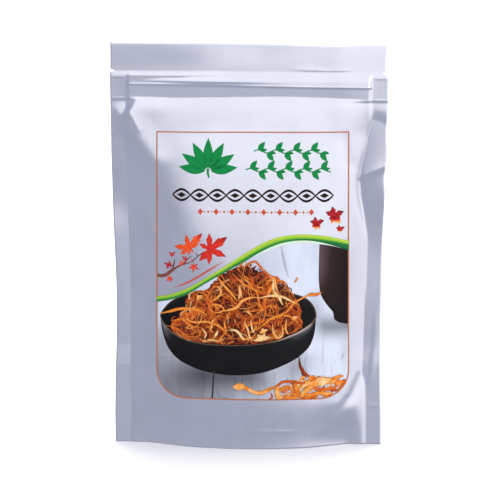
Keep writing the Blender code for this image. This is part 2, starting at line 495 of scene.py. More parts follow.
@dataclass(frozen=True)
class Lean:
    """A lean of both panels along Y: round in height, and growing from one place across to another."""

    start: float
    end: float
    level: float
    spread: float
    amount: float

    def at(self, x: Array, z: Array) -> Array:
        """The lean at each point; forwards is negative."""
        return self.amount * hump(z, self.level, self.spread) * between(x, self.start, self.end)


SEAL_LEANS = (
    Lean(-52.0, -78.0, 147.0, 17.0, 1.5),
    Lean(-52.0, -78.0, 90.0, 30.0, -0.4),
    Lean(60.0, 79.0, 110.0, 22.0, 0.5),
    Lean(60.0, 79.0, 149.0, 16.0, -1.4),
)


@dataclass(frozen=True)
class PouchForm:
    """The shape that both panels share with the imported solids, and the creases that make it film."""

    width: float = 160.0
    height: float = 236.0
    film: float = 0.15
    gap: float = 0.3
    side_seal: float = 9.0
    base_bulge: float = 16.0
    body_bulge: float = 18.0
    body_bulge_at: float = 78.0
    flatness: float = 1.6
    zip_bottom: float = 204.8
    zip_top: float = 218.3
    zip_open: float = 1.40
    zip_half: float = 1.05
    zip_end: float = 69.2
    zip_clearance: float = 0.05
    zip_crushed: float = 0.62
    crush_ramp: float = 2.0
    crush_mark: float = 0.14
    soft_ridge_at: float = 215.1
    soft_ridge: float = 0.95
    line_at: float = 213.2
    line_drop: float = 1.3
    line_ridge: float = 0.30
    ledge: float = 0.95
    notch_at: float = 220.6
    notch_height: float = 2.4
    notch_depth: float = 3.0
    pillow_rise: float = 2.0
    pillow_reach: float = 48.0
    pucker_at: float = 158.4
    pucker: float = 1.1
    gusset_depth: float = 45.0
    foot: float = 12.0
    tuck_below: float = 28.0

    def bulge(self, z: Array) -> Array:
        """How far the middle of a panel stands out at height z.

        Args:
            z: the height, or an array of them.

        Returns:
            The distance from the centre plane, without the film and its seams.
        """
        foot = self.base_bulge + (self.body_bulge - self.base_bulge) * between(z, 0.0, self.body_bulge_at)
        t = np.clip((z - self.body_bulge_at) / (self.zip_bottom - self.body_bulge_at), 0.0, 1.0)
        return np.where(z < self.body_bulge_at, foot, self.body_bulge * (1.0 - t * t) ** 1.15)

    def lens_half_width(self, z: Array) -> Array:
        """Half the chord between the side seals, for film of a fixed width."""
        arc = self.width - 2.0 * self.side_seal
        return (arc + np.sqrt(arc * arc - 32.0 / 3.0 * self.bulge(z) ** 2)) / 4.0

    def over_gusset(self, z: Array) -> Array:
        """0 where the gusset's layers lie in the seals, and 1 above them."""
        return between(z, self.gusset_depth + 0.3, self.gusset_depth + 16.0)

    def seal_offset(self, z: Array) -> Array:
        """How far a panel's inner face lies from the centre plane in the side seals.

        Args:
            z: the height, or an array of them.

        Returns:
            The distance: more where the gusset's layers or the crushed zip lie between the panels.
        """
        plain = self.gap / 2.0
        low = plain + (self.film + self.gap) * (1.0 - self.over_gusset(z))
        zipped = between(z, self.zip_bottom - 1.8, self.zip_bottom)
        zipped = zipped * (1.0 - between(z, self.zip_top, self.notch_at))
        return low + (self.zip_crushed - plain) * zipped

    def zip_relief(self, x: Array, z: Array) -> Array:
        """What the pressed zip adds between the side seals: its web, a soft ridge, a fine one and a ledge.

        Args:
            x: places across the pouch.
            z: the heights there.

        Returns:
            The distance added there.
        """
        over = np.clip((self.lens_half_width(z) - np.abs(x)) / self.crush_ramp, 0.0, 1.0)
        web = between(z, self.zip_bottom - 22.0, self.zip_bottom)
        web = web * (1.0 - between(z, self.zip_top - 3.5, self.notch_at - 0.2))
        web = web * (0.64 + 0.36 * between(x, -66.0, -20.0))
        soft = self.soft_ridge * hump(z, self.soft_ridge_at, 1.7)
        soft = soft * between(x, -66.0, -12.0) * (1.0 - between(x, -40.0, 30.0))
        line = self.line_at - self.line_drop * between(x, -60.0, 60.0)
        fine = self.line_ridge * hump(z, line, 0.5) * (0.5 + 0.5 * between(x, -72.0, -50.0))
        ledge = self.ledge * np.clip((219.6 - z) / 9.0, 0.0, 1.0) * between(z, line - 0.5, line + 0.2)
        fine = fine + ledge * between(x, -45.0, 20.0)
        return over * ((self.zip_open - self.zip_crushed) * web + soft + fine)

    def pillow(self, x: Array, z: Array) -> Array:
        """The shoulder where the film leaves the zip's web, cut off by the flank fold on the left.

        Args:
            x: places across the pouch.
            z: the heights there.

        Returns:
            The distance added there.
        """
        drop = np.clip(self.zip_bottom + 0.7 + 0.5 * np.sin(x / 19.0 + 0.6) - z, 0.0, None)
        corner = -67.0 - x + 0.55 * (z - 198.5)
        inside = (1.0 - between(corner, 0.0, 5.0)) * (1.0 - between(x, 50.0, 72.0))
        rise = self.pillow_rise * (1.0 - np.exp(-drop / 1.9))
        return rise * np.exp(-((drop / self.pillow_reach) ** 2)) * inside

    def crush_marks(self, x: Array, z: Array) -> Array:
        """The fine raised outline of the zip's crushed ends in the side seals."""
        edge = np.maximum(np.abs(z - 211.0) - 6.3, np.abs(np.abs(x) - 75.6) - 3.9)
        return self.crush_mark * np.exp(-np.abs(edge) / 0.35) * (np.abs(x) > 70.5)

    def foot_tuck(self, x: Array, z: Array) -> Array:
        """How far a panel tucks in over the gusset's weld: most at the corners, and more at the right one."""
        corners = 2.0 * between(np.abs(x), 28.0, 58.0) + 1.2 * between(x, 35.0, 60.0)
        return (1.6 + corners) * between(-z, -self.tuck_below, 0.0)

    def right_end(self, x: Array, z: Array) -> Array:
        """How far the front film stands off the zip's right end, and more so further down."""
        drop = np.clip(self.zip_top + 0.7 - z, 0.0, 14.2)
        return 0.055 * drop * between(z, 178.0, 200.0) * between(x, 45.0, 76.0)

    def least(self, x: Array, z: Array) -> Array:
        """The nearest that a panel's outer face may come to the centre plane.

        Args:
            x: places across the pouch.
            z: the heights there.

        Returns:
            The distance that keeps the film clear of its seams and of the zip's strips.
        """
        zipped = between(z, self.zip_bottom - 1.2, self.zip_bottom - 0.2)
        zipped = zipped * (1.0 - between(z, self.zip_top + 0.2, self.zip_top + 1.3))
        zipped = zipped * (1.0 - between(np.abs(x), self.zip_end, self.zip_end + 1.4))
        return np.maximum(self.seal_offset(z), zipped * (self.zip_half + self.zip_clearance)) + self.film

    def sway(self, x: Array, z: Array) -> Array:
        """How far both panels lean along Y: the sealed edges and the top flap are never quite flat.

        Args:
            x: places across the pouch.
            z: the heights there.

        Returns:
            The lean; forwards is negative.
        """
        seals = sum(lean.at(x, z) for lean in SEAL_LEANS)
        above = z - self.pucker_at - 0.45 * (x - 62.0)
        fold = np.exp(-np.where(above > 0.0, above / 9.0, above / -1.8))
        pucker = -self.pucker * fold * between(x, 61.5, 66.5)
        waves = 0.25 * np.sin(x / 23.0 + 0.8) + 0.12 * np.sin(x / 9.0 + 2.0)
        flap = between(z, 222.0, self.height) * waves
        over_zip = np.clip(z - self.zip_top - 0.3, 0.0, None)
        back = over_zip * (0.028 + 0.06 * between(x, -66.0, 20.0))
        below = (1.0 - np.exp(-np.clip(self.zip_bottom - z, 0.0, None) / 12.0)) * between(z, 115.0, 180.0)
        end = (0.12 * over_zip - 1.6 * below) * between(x, 45.0, 76.0)
        return seals + pucker + flap + back + end

    def edge_x(self, sign: int, z: Array) -> Array:
        """Place of one side edge.

        Args:
            sign: -1 for the left one and 1 for the right one.
            z: the heights.

        Returns:
            The edge's x at each height.
        """
        plain = self.lens_half_width(z) + self.side_seal
        top = 0.9 * between(z, self.notch_at - 1.0, self.notch_at + 1.0)
        if sign < 0:
            return -(plain - 0.5 * top + 0.25 * np.sin(z / 17.0))
        pucker = 1.1 * hump(z, 161.0, 7.0) + 0.8 * hump(z, 186.0, 9.0)
        return plain - top - pucker + 0.2 * np.sin(z / 13.0 + 1.0)

    def outer(self, side: Side, x: Array, z: Array) -> Array:
        """Distance of a panel's outer face from the centre plane.

        Args:
            side: which panel.
            x: places across the pouch.
            z: the heights there.

        Returns:
            The distance outwards, in millimetres.
        """
        front = side is Side.FRONT
        u = np.clip(np.abs(x) / self.lens_half_width(z), 0.0, 1.0)
        lens = 1.0 - u ** (2.0 + self.flatness * between(z, 70.0, 150.0))
        step = (self.film + self.gap) * (self.over_gusset(z) - between(z, 20.0, 170.0))
        total = self.seal_offset(z) + self.film + self.bulge(z) * lens
        total = total + step * between(lens, 0.0, 0.2)
        total = total + self.zip_relief(x, z) + self.crush_marks(x, z)
        body = between(lens, 0.0, 0.25) * (1.0 - between(z, 192.0, 203.0))
        seed = 3 if front else 8
        total = total + body * Waves(seed, 30.0, 80.0, 0.09).at(x, z)
        total = total + (0.25 + 0.75 * body) * Waves(seed + 20, 8.0, 18.0, 0.012).at(x, z)
        total = total + self.pillow(x, z) - self.foot_tuck(x, z) * between(lens, 0.0, 0.34)
        for crease in FRONT_CREASES if front else BACK_CREASES:
            total = total + crease.height(x, z)
        if front:
            total = total + self.right_end(x, z)
        return np.maximum(total, self.least(x, z))

    def lean_y(self, x: Array, z: Array) -> Array:
        """The sway, which fades out at the foot, where the pouch stands."""
        return self.sway(x, z) * between(z, 0.0, self.foot)

    def out_y(self, side: Side, x: Array, z: Array, lift: float = 0.0) -> Array:
        """The y of a panel's outer face, or of a layer that lies a little above it."""
        return side.value * (self.outer(side, x, z) + lift) + self.lean_y(x, z)


# ---- Meshes


def ride_root(obj: bpy.types.Object, material: bpy.types.Material) -> None:
    """Dress a piece and make it ride on the pouch's one body.

    Args:
        obj: the piece.
        material: its finish.
    """
    obj.data.materials.clear()
    obj.data.materials.append(material)
    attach(obj, BODY)
    LOG.info("%s: %d faces", obj.name, len(obj.data.polygons))


def make_object(name: str, points: Array, faces: list, smooth: bool = True) -> bpy.types.Object:
    """Make an object.

    Args:
        name: its name.
        points: its points, in millimetres.
        faces: its faces, as tuples of point numbers.
        smooth: shade it smooth.

    Returns:
        The object, in the scene.
    """
    mesh = bpy.data.meshes.new(name)
    mesh.from_pydata((np.asarray(points, float) * MM).tolist(), [], faces)
    mesh.validate()
    mesh.update()
    if smooth:
        mesh.shade_smooth()
    obj = bpy.data.objects.new(name, mesh)
    bpy.context.scene.collection.objects.link(obj)
    return obj


def grid_faces(rows: int, cols: int, start: int = 0, flip: bool = False) -> list:
    """The quads of a grid of points numbered row by row.

    Args:
        rows: rows of points.
        cols: points in a row.
        start: the first point's number.
        flip: face the other way.

    Returns:
        The faces as tuples of point numbers.
    """
    corner = (np.arange(rows - 1)[:, None] * cols + np.arange(cols - 1)[None, :] + start).ravel()
    quads = np.stack([corner, corner + 1, corner + cols + 1, corner + cols], 1)
    return (quads[:, ::-1] if flip else quads).tolist()


def rim_loop(rows: int, cols: int) -> Array:
    """The numbers of a grid's border points.

    Args:
        rows: rows of points.
        cols: points in a row.

    Returns:
        The numbers, in order round the grid.
    """
    bottom = np.arange(cols)
    right = np.arange(1, rows) * cols + cols - 1
    top = (rows - 1) * cols + np.arange(cols - 2, -1, -1)
    left = np.arange(rows - 2, 0, -1) * cols
    return np.concatenate([bottom, right, top, left])


def sheet_faces(rows: int, cols: int, flip: bool = False, start: int = 0) -> list:
    """The faces that close two equal grids of points into one thin sheet.

    Args:
        rows: rows of points in a grid.
        cols: points in a row.
        flip: turn all faces round.
        start: the number of the near grid's first point; the far grid's points follow the near one's.

    Returns:
        The faces, as lists of point numbers.
    """
    count = rows * cols
    faces = grid_faces(rows, cols, start, not flip) + grid_faces(rows, cols, start + count, flip)
    loop = rim_loop(rows, cols) + start
    following = np.roll(loop, -1)
    rim = np.stack([loop, following, following + count, loop + count], 1)
    return faces + (rim[:, ::-1] if flip else rim).tolist()


def thin_solid(name: str, near: Array, far: Array, flip: bool) -> bpy.types.Object:
    """Close two grids of points into one thin sheet.

    Args:
        name: the object's name.
        near: one face's points, rows by columns by three, in millimetres.
        far: the other face's points.
        flip: turn all faces round.

    Returns:
        The sheet.
    """
    points = np.concatenate([near.reshape(-1, 3), far.reshape(-1, 3)])
    return make_object(name, points, sheet_faces(*near.shape[:2], flip))


@dataclass
class FilmPanel:
    """One of the pouch's two film panels, creased, as a thin closed sheet."""

    form: PouchForm
    side: Side
    node: str
    name: str
    slot: str
    finish: FoilFinish
    body_columns: int = 150
    seal_columns: int = 10
    crowding: float = 0.86
    foot_step: float = 0.8
    body_step: float = 1.12
    zip_step: float = 0.42
    flap_rows: int = 14
    top_dip: float = 1.0
    top_sag: float = 0.35
    top_rise: float = 1.1

    def levels(self) -> Array:
        """The height of each row of points.

        Returns:
            The heights: closer at the zip and the foot, and one at each corner of the notches.
        """
        form = self.form
        foot = np.arange(0.0, form.foot, self.foot_step)
        body = np.arange(form.foot, form.zip_bottom - 4.0, self.body_step)
        closure = np.arange(form.zip_bottom - 4.0, form.zip_top + 0.3, self.zip_step)
        half = form.notch_height / 2.0
        notch = form.notch_at + np.array([-half, -half / 2, 0.0, half / 2, half])
        flap = np.linspace(form.notch_at + half + 0.8, form.height, self.flap_rows)
        return np.concatenate([foot, body, closure, notch, flap])

    def places(self) -> tuple:
        """The place of each point.

        Returns:
            Its x and its z, as two arrays of rows by columns.
        """
        form, z = self.form, self.levels()[:, None]
        half = form.lens_half_width(z)
        turn = np.linspace(-0.5, 0.5, self.body_columns + 1) * math.pi * self.crowding
        inner = np.sin(turn) / math.sin(self.crowding / 2.0 * math.pi)
        share = np.linspace(1.0, 0.0, self.seal_columns + 1)[:-1][None, :]
        off = np.abs(z - form.notch_at) / (form.notch_height / 2.0)
        notch = np.clip(1.0 - off, 0.0, 1.0) * form.notch_depth
        left_edge, right_edge = form.edge_x(-1, z) + notch, form.edge_x(1, z) - notch
        left = -half + share * (left_edge + half)
        right = (half + share * (right_edge - half))[:, ::-1]
        x = np.concatenate([left, half * inner[None, :], right], 1)
        z = np.broadcast_to(z, x.shape).copy()
        top = between(z, form.notch_at, form.height)
        dip = self.top_dip * between(x, -35.0, 55.0) + self.top_sag * hump(x, 44.0, 16.0)
        z -= top * (dip - self.top_rise)
        return x, z

    def build(self) -> None:
        """Build the panel, dress it and let it stand in for its plain solid."""
        x, z = self.places()
        outer = self.form.out_y(self.side, x, z)
        inner = outer - self.side.value * self.form.film
        near, far = np.stack([x, outer, z], -1), np.stack([x, inner, z], -1)
        panel = thin_solid(self.name, near, far, self.side is Side.FRONT)
        ride_root(panel, self.finish.build())
        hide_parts(self.node)


@dataclass
class BottomGusset:
    """The folded bottom film: a hem along each panel's foot, and the arch between them with its slack."""

    form: PouchForm
    finish: FoilFinish
    crest: float = 27.0
    weld: float = 10.0
    steepness: float = 6.0
    columns: int = 121
    seal_share: float = 0.12
    hem_steps: int = 8
    arch_steps: int = 30

    def places(self) -> Array:
        """The gusset's upper face.

        Returns:
            Its points, rows by columns by three, the front hem first.
        """
        form = self.form
        past = 1.0 + self.seal_share
        share = np.concatenate([[-past], np.linspace(-1.0, 1.0, self.columns), [past]])
        u = np.clip(share, -1.0, 1.0)
        fold = form.gusset_depth - form.gap / 2.0 - form.film / 2.0
        top = self.weld + (fold - self.weld) * np.abs(u) ** self.steepness
        crest = self.crest + (form.gusset_depth - self.crest) * u**2
        rows = []
        for side in (Side.FRONT, Side.BACK):
            hem = []
            for t in np.linspace(0.0, 1.0, self.hem_steps + 1):
                z = top * t
                half = form.lens_half_width(z)
                beyond = (np.abs(share) - 1.0).clip(0.0) / self.seal_share * (form.side_seal - 0.4)
                x = u * half + np.sign(share) * beyond
                inner = form.outer(side, x, z) - form.film - form.gap
                inner = np.minimum(inner, form.seal_offset(z) + form.bulge(z) * (1.0 - u * u) - form.gap)
                hem.append(np.stack([x, side.value * inner + form.lean_y(x, z), z], -1))
            rows.append(hem)
        front, back = rows
        arch = []
        slack = Waves(31, 9.0, 26.0, 0.5)
        for i in range(1, self.arch_steps):
            angle = math.pi * i / self.arch_steps
            t = 0.5 - 0.5 * math.cos(angle)
            base = front[-1] * (1.0 - t) + back[-1] * t
            rise = (crest - top) * math.sin(angle)
            pucker = slack.at(base[:, 0], np.full(len(u), 40.0 * t)) * (1.0 - np.abs(u)).clip(0.0, 1.0)
            base[:, 2] = top + rise + pucker * math.sin(angle)
            arch.append(base)
        return np.array(front + arch + back[::-1])

    def build(self) -> None:
        """Build the gusset, dress it and let it stand in for its plain solid."""
        upper = self.places()
        along = np.gradient(upper, axis=0)
        across = np.gradient(upper, axis=1)
        normal = np.cross(across, along)
        normal /= np.linalg.norm(normal, axis=2, keepdims=True)
        normal[(0, -1), :, 2] = 0.0
        lower = upper - normal * self.form.film
        lower[(0, -1), :, 2] = 0.0
        gusset = thin_solid("gusset_film", upper, lower, True)
        ride_root(gusset, self.finish.build())
        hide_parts("bottom_gusset")


@dataclass
class Filling:
    """The loose filling, as the lumpy mass of dried strands that the films lie against."""

    form: PouchForm
    reach: float = 0.9
    foot: float = 30.0
    top: float = 168.0
    crest: float = 27.0
    top_drop: float = 26.0
    shoulder: float = 40.0
    clearance: float = 0.9
    lump: float = 0.5
    least: float = 0.4
    columns: int = 60
    rows: int = 70

    def build(self) -> None:
        """Build the filling and let it stand in for its plain solid."""
        u = np.linspace(-self.reach, self.reach, self.columns)[None, :]
        t = np.linspace(0.0, 1.0, self.rows)[:, None]
        low = self.foot + (self.form.gusset_depth - self.crest) * u * u
        high = self.top - self.top_drop * u * u + 3.0 * np.sin(u * 7.0)
        z = low + (high - low) * t
        x = u * self.form.lens_half_width(z)
        shoulder = np.clip(z - (high - self.shoulder), 0.0, None) / self.shoulder
        thin = np.sqrt(np.clip(1.0 - shoulder**2, 0.0, None))
        faces = []
        for side in (Side.FRONT, Side.BACK):
            lump = self.lump + Waves(41 + side.value, 3.0, 9.0, 0.4).at(x, z).clip(-self.lump, 0.8)
            room = self.form.outer(side, x, z) - self.form.film - self.clearance - lump
            out = np.maximum(room * thin, self.least)
            faces.append(np.stack([x, side.value * out + self.form.sway(x, z), z], -1))
        mass = thin_solid("filling_mass", faces[0], faces[1], True)
        ride_root(mass, FillingFinish().build())
        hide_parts("dried_filling")


# ---- Print


def smooth_path(points: tuple, count: int) -> Array:
    """Points on a smooth curve through the given ones.

    Args:
        points: (x, z) pairs, in order.
        count: how many points to give back.

    Returns:
        The points as rows of x and z.
    """
    line = np.array(points, float)
    line = np.concatenate([[2 * line[0] - line[1]], line, [2 * line[-1] - line[-2]]])
    place = np.linspace(0.0, len(points) - 1.0, count)
    first = np.minimum(place.astype(int), len(points) - 2)
    t = (place - first)[:, None]
    a, b, c, d = (line[first + i] for i in range(4))
    return 0.5 * (2 * b + (c - a) * t + (2 * a - 5 * b + 4 * c - d) * t**2 + (3 * b - a - 3 * c + d) * t**3)


def height_on(points: tuple, x: Array) -> Array:
    """Height at each x of the smooth curve through points that run from left to right."""
    path = smooth_path(points, 240)
    return np.interp(x, path[:, 0], path[:, 1])


def row(x: Array, z: Array) -> Array:
    """Pair x and z into a row of points."""
    return np.stack(np.broadcast_arrays(x, z), -1)


@dataclass(frozen=True)
class Label:
    """The framed picture's outline and the green band's curves, on the front panel."""

    left: float = -53.2
    right: float = 57.6
    bottom: float = 27.8
    top: float = 186.4
    corner: float = 17.0
    band_top: tuple = (
        (-53.2, 89.1), (-44.4, 91.6), (-34.4, 96.1), (-23.8, 102.8), (-14.0, 109.0), (-7.2, 113.6),
        (1.1, 119.0), (8.6, 123.3), (16.8, 126.6), (27.1, 128.2), (38.6, 127.9), (48.4, 126.1),
        (57.6, 123.5),
    )  # fmt: skip
    band_middle: tuple = (
        (-53.2, 87.3), (-44.4, 89.6), (-34.4, 94.0), (-23.8, 100.9), (-14.0, 107.0), (-3.4, 113.5),
        (4.9, 118.5), (12.4, 122.3), (19.9, 124.9), (27.4, 125.9), (34.9, 125.8), (42.4, 124.9),
        (49.9, 123.4), (57.6, 121.2),
    )  # fmt: skip
    band_bottom: tuple = (
        (-53.2, 86.1), (-44.4, 88.4), (-34.4, 92.7), (-23.8, 99.7), (-14.0, 105.7), (-1.9, 112.5),
        (5.6, 117.2), (13.1, 121.1), (19.9, 123.6), (27.4, 124.8), (34.9, 124.8), (42.4, 123.4),
        (49.9, 120.9), (57.6, 117.7),
    )  # fmt: skip

    def floor(self, x: Array) -> Array:
        """The frame's lower edge in the flat layout, which turns up at its round corners.

        Args:
            x: places across the layout.

        Returns:
            The edge's height at each.
        """
        over = self.corner - np.minimum(x - self.left, self.right - x)
        over = np.clip(over, 0.0, self.corner)
        return self.bottom + self.corner - np.sqrt(self.corner**2 - over**2)

    def settled(self, x: Array, z: Array) -> Array:
        """Where points of the flat layout lie once the frame is drawn over the filled pouch.

        Args:
            x: their places across the layout.
            z: the heights there.

        Returns:
            The points as rows of x and z.
        """
        across = (x - self.left) / (self.right - self.left)
        down = (self.top - z) / (self.top - self.bottom)
        bow = down * (0.9 + 5.4 * across * (1.0 - across)) + (1.0 - down) * (0.85 * across - 0.1)
        return row(x + across * (0.25 + 1.2 * down), z + bow)

    def right_at(self, z: Array) -> Array:
        """Place of the frame's right edge at each height."""
        return self.settled(np.full(np.shape(z), self.right), z)[..., 0]

    def outline(self, inset: float) -> Array:
        """The frame's outline.

        Args:
            inset: how far it is moved in.

        Returns:
            The points on it as rows of x and z, closed.
        """
        left, right = self.left + inset, self.right - inset
        bottom, top = self.bottom + inset, self.top - inset
        radius = self.corner - inset
        turn = np.linspace(0.0, math.pi / 2, 13)
        sides = [
            row(np.full(120, left), np.linspace(top, bottom + radius, 120)),
            row(left + radius - radius * np.cos(turn), bottom + radius - radius * np.sin(turn)),
            row(np.linspace(left + radius, right - radius, 70), np.full(70, bottom)),
            row(right - radius + radius * np.sin(turn), bottom + radius - radius * np.cos(turn)),
            row(np.full(120, right), np.linspace(bottom + radius, top, 120)),
            row(np.linspace(right, left, 100), np.full(100, top)),
        ]
        line = np.concatenate(sides)
        line = line[np.hypot(*(line - np.roll(line, 1, 0)).T) > 1e-6]
        return self.settled(*np.concatenate([line, line[:1]]).T)


LABEL = Label()
MARKS = ("tone", "edge", "shade")


@dataclass
class InkLayer:
    """Shapes printed on the front film, gathered into one thin piece that follows the film.

    Each point carries three marks for its finish: tone picks the ink's colour, edge is 1 at a shape's border
    and 0 along its middle, and shade darkens.
    """

    form: PouchForm
    name: str
    finish: InkFinish
    lift: float
    depth: float = 0.04
    places: list = field(default_factory=list)
    marks: list = field(default_factory=list)
    faces: list = field(default_factory=list)
    count: int = 0

    def _add(self, x: Array, z: Array, lift: Array, faces: list, marks: dict) -> None:
        """Add points, their marks and the faces on them.

        Args:
            x: places across the pouch.
            z: the heights there.
            lift: how far they stand off the film.
            faces: tuples of point numbers, counted from the layer's first point.
            marks: the marks' values by name; a mark left out is 0.
        """
        self.places.append(np.stack([part.ravel() for part in np.broadcast_arrays(x, z, lift)], 1))
        values = [np.broadcast_to(marks.get(name, 0.0), x.shape).ravel() for name in MARKS]
        self.marks.append(np.stack(values, 1))
        self.faces += faces
        self.count += x.size

    def patch(self, lower: Array, upper: Array, rows: int, **marks: object) -> None:
        """Add a sheet between two curves of equally many points.

        Args:
            lower: one curve, as rows of x and z.
            upper: the curve on the other side.
            rows: how many rows of points.
            marks: each a number, or a function of x, z and the share of the way from lower to upper.
        """
        t = np.linspace(0.0, 1.0, rows)[:, None]
        x = lower[:, 0] * (1.0 - t) + upper[:, 0] * t
        z = lower[:, 1] * (1.0 - t) + upper[:, 1] * t
        values = {}
        for name, mark in marks.items():
            value = mark(x, z, t) if callable(mark) else mark
            values[name] = np.broadcast_to(value, (2, *x.shape))
        faces = sheet_faces(*x.shape, start=self.count)
        lift = np.array([self.lift, self.lift - self.depth])[:, None, None]
        self._add(np.stack([x, x]), np.stack([z, z]), lift, faces, values)

    def tubes(self, x: Array, z: Array, lift: Array, **marks: object) -> None:
        """Add closed shapes, each of rings of points, joined in order and capped at both ends.

        Args:
            x: shapes by rings by points.
            z: the same for the heights.
            lift: how far each point stands off the film, broadcast to that.
            marks: the marks' values, broadcast to that.
        """
        shapes, rings, points = x.shape
        shape = np.arange(shapes)[:, None, None] * rings * points
        ring = np.arange(rings - 1)[None, :, None] * points
        point = np.arange(points)[None, None, :]
        here, beside = shape + ring + point, shape + ring + (point + 1) % points
        quads = np.stack([here, beside, beside + points, here + points], -1).reshape(-1, 4) + self.count
        first = np.arange(shapes)[:, None] * rings * points + np.arange(points)[None, :] + self.count
        last = first + (rings - 1) * points
        faces = quads.tolist() + first[:, ::-1].tolist() + last.tolist()
        self._add(x, z, lift, faces, marks)

    def strands(self, x: Array, z: Array, width: Array, lift: Array, raised: float, **marks: object) -> None:
        """Add strands, each a rounded ridge along a path.

        Args:
            x: strands by points along each.
            z: the same for the heights.
            width: the strands' widths there.
            lift: how far their borders stand off the film.
            raised: how much further their middles do.
            marks: tone and shade there.
        """
        dx, dz = np.gradient(x, axis=1), np.gradient(z, axis=1)
        size = np.hypot(dx, dz) + 1e-9
        across = np.array([-1.0, -0.55, 0.55, 1.0, 0.0])
        high = np.array([0.0, 0.85, 0.85, 0.0, 0.0]) * raised
        deep = np.array([0.0, 0.0, 0.0, 0.0, self.depth])
        half = (width / 2.0)[:, :, None] * across
        wide = {k: np.broadcast_to(v, x.shape)[:, :, None] for k, v in marks.items()}
        wide["edge"] = np.array([1.0, 0.25, 0.25, 1.0, 1.0])
        xs = x[:, :, None] - (dz / size)[:, :, None] * half
        zs = z[:, :, None] + (dx / size)[:, :, None] * half
        lifts = np.broadcast_to(lift, x.shape)[:, :, None] + high - deep
        self.tubes(xs, zs, lifts, **wide)

    def stroke(
        self, points: tuple, width: float, taper: tuple = (0.3, 0.3), steps: int = 0, **marks: object
    ) -> None:
        """Add one strand along a smooth curve.

        Args:
            points: (x, z) pairs on the curve.
            width: its width in the middle.
            taper: the share of its width left at its start and its end.
            steps: how many points along it, or 0 for one about each 1.2 mm.
            marks: "raised", "lift", tone and shade, where they aren't plain.
        """
        rough = np.hypot(*np.diff(np.array(points, float), axis=0).T).sum()
        path = smooth_path(points, steps or max(6, int(rough / 1.2)))
        t = np.linspace(0.0, 1.0, len(path))
        grow = taper[0] + (1.0 - taper[0]) * ease(t / 0.3)
        shrink = taper[1] + (1.0 - taper[1]) * ease((1.0 - t) / 0.3)
        raised = marks.pop("raised", 0.03)
        lift = self.lift + marks.pop("lift", 0.0)
        x, z = path[None, :, 0], path[None, :, 1]
        self.strands(x, z, (width * grow * shrink)[None, :], lift, raised, **marks)

    def blob(
        self, center: tuple, outline: Array, rings: int = 5, raised: float = 0.0, **marks: object
    ) -> None:
        """Add a filled outline as a thin closed shape of rings round a centre.

        Args:
            center: the centre's x and z.
            outline: the points round it, as rows of x and z.
            rings: how many rings on each face.
            raised: how much further than the layer it stands off the film.
            marks: each a number, or a function of x, z and the share of the way out.
        """
        out = np.concatenate([np.linspace(0.08, 1.0, rings), np.linspace(1.0, 0.08, rings)])[:, None]
        x = center[0] + (outline[:, 0] - center[0]) * out
        z = center[1] + (outline[:, 1] - center[1]) * out
        lift = raised + np.repeat([self.lift, self.lift - self.depth], rings)[:, None]
        values = {"edge": np.broadcast_to(out**3, x.shape)}
        for name, mark in marks.items():
            values[name] = np.broadcast_to(mark(x, z, out) if callable(mark) else mark, x.shape)
        self.tubes(x[None], z[None], lift[None], **{k: v[None] for k, v in values.items()})

    def build(self) -> None:
        """Build the piece, give it its marks and dress it."""
        x, z, lift = np.concatenate(self.places).T
        points = np.stack([x, self.form.out_y(Side.FRONT, x, z, lift), z], 1)
        layer = make_object(self.name, points, self.faces)
        shell = bmesh.new()
        shell.from_mesh(layer.data)
        bmesh.ops.recalc_face_normals(shell, faces=shell.faces)
        shell.to_mesh(layer.data)
        shell.free()
        for name, values in zip(MARKS, np.concatenate(self.marks).T):
            mark = layer.data.attributes.new(name, "FLOAT", "POINT")
            mark.data.foreach_set("value", values.astype(np.float32))
        ride_root(layer, self.finish.build())


@dataclass(frozen=True)
class InkFinish:
    """Gravure ink under a clear film: a colour for each tone, darker at the edges and in the shade."""

    name: str
    stops: tuple
    edge_dark: float = 0.3
    speckle: float = 0.12
    speckle_scale: float = 900.0
    stretch: tuple = (1.0, 1.0, 1.0)
    roughness: float = 0.36
    gloss: float = 0.16

    def build(self) -> bpy.types.Material:
        """Make the ink's material.

        Returns:
            The material.
        """
        shader = Shader(self.name)
        grain = shader.noise(shader.scaled(shader.place(), self.stretch), self.speckle_scale, 3.0)
        tone = shader.attribute("tone") + self.speckle * (2.0 * grain - 1.0)
        tint = shader.ramp(tone.clamped(), list(self.stops))
        dark = shader.attribute("shade") + self.edge_dark * shader.attribute("edge")
        tint = shader.mix(dark.clamped(), tint, (0.004, 0.003, 0.004))
        return shader.finish(
            Base_Color=tint,
            Roughness=self.roughness + 0.08 * grain,
            Specular_IOR_Level=self.gloss,
            Normal=shader.bump(grain, 0.01 * MM, 0.4),
        )


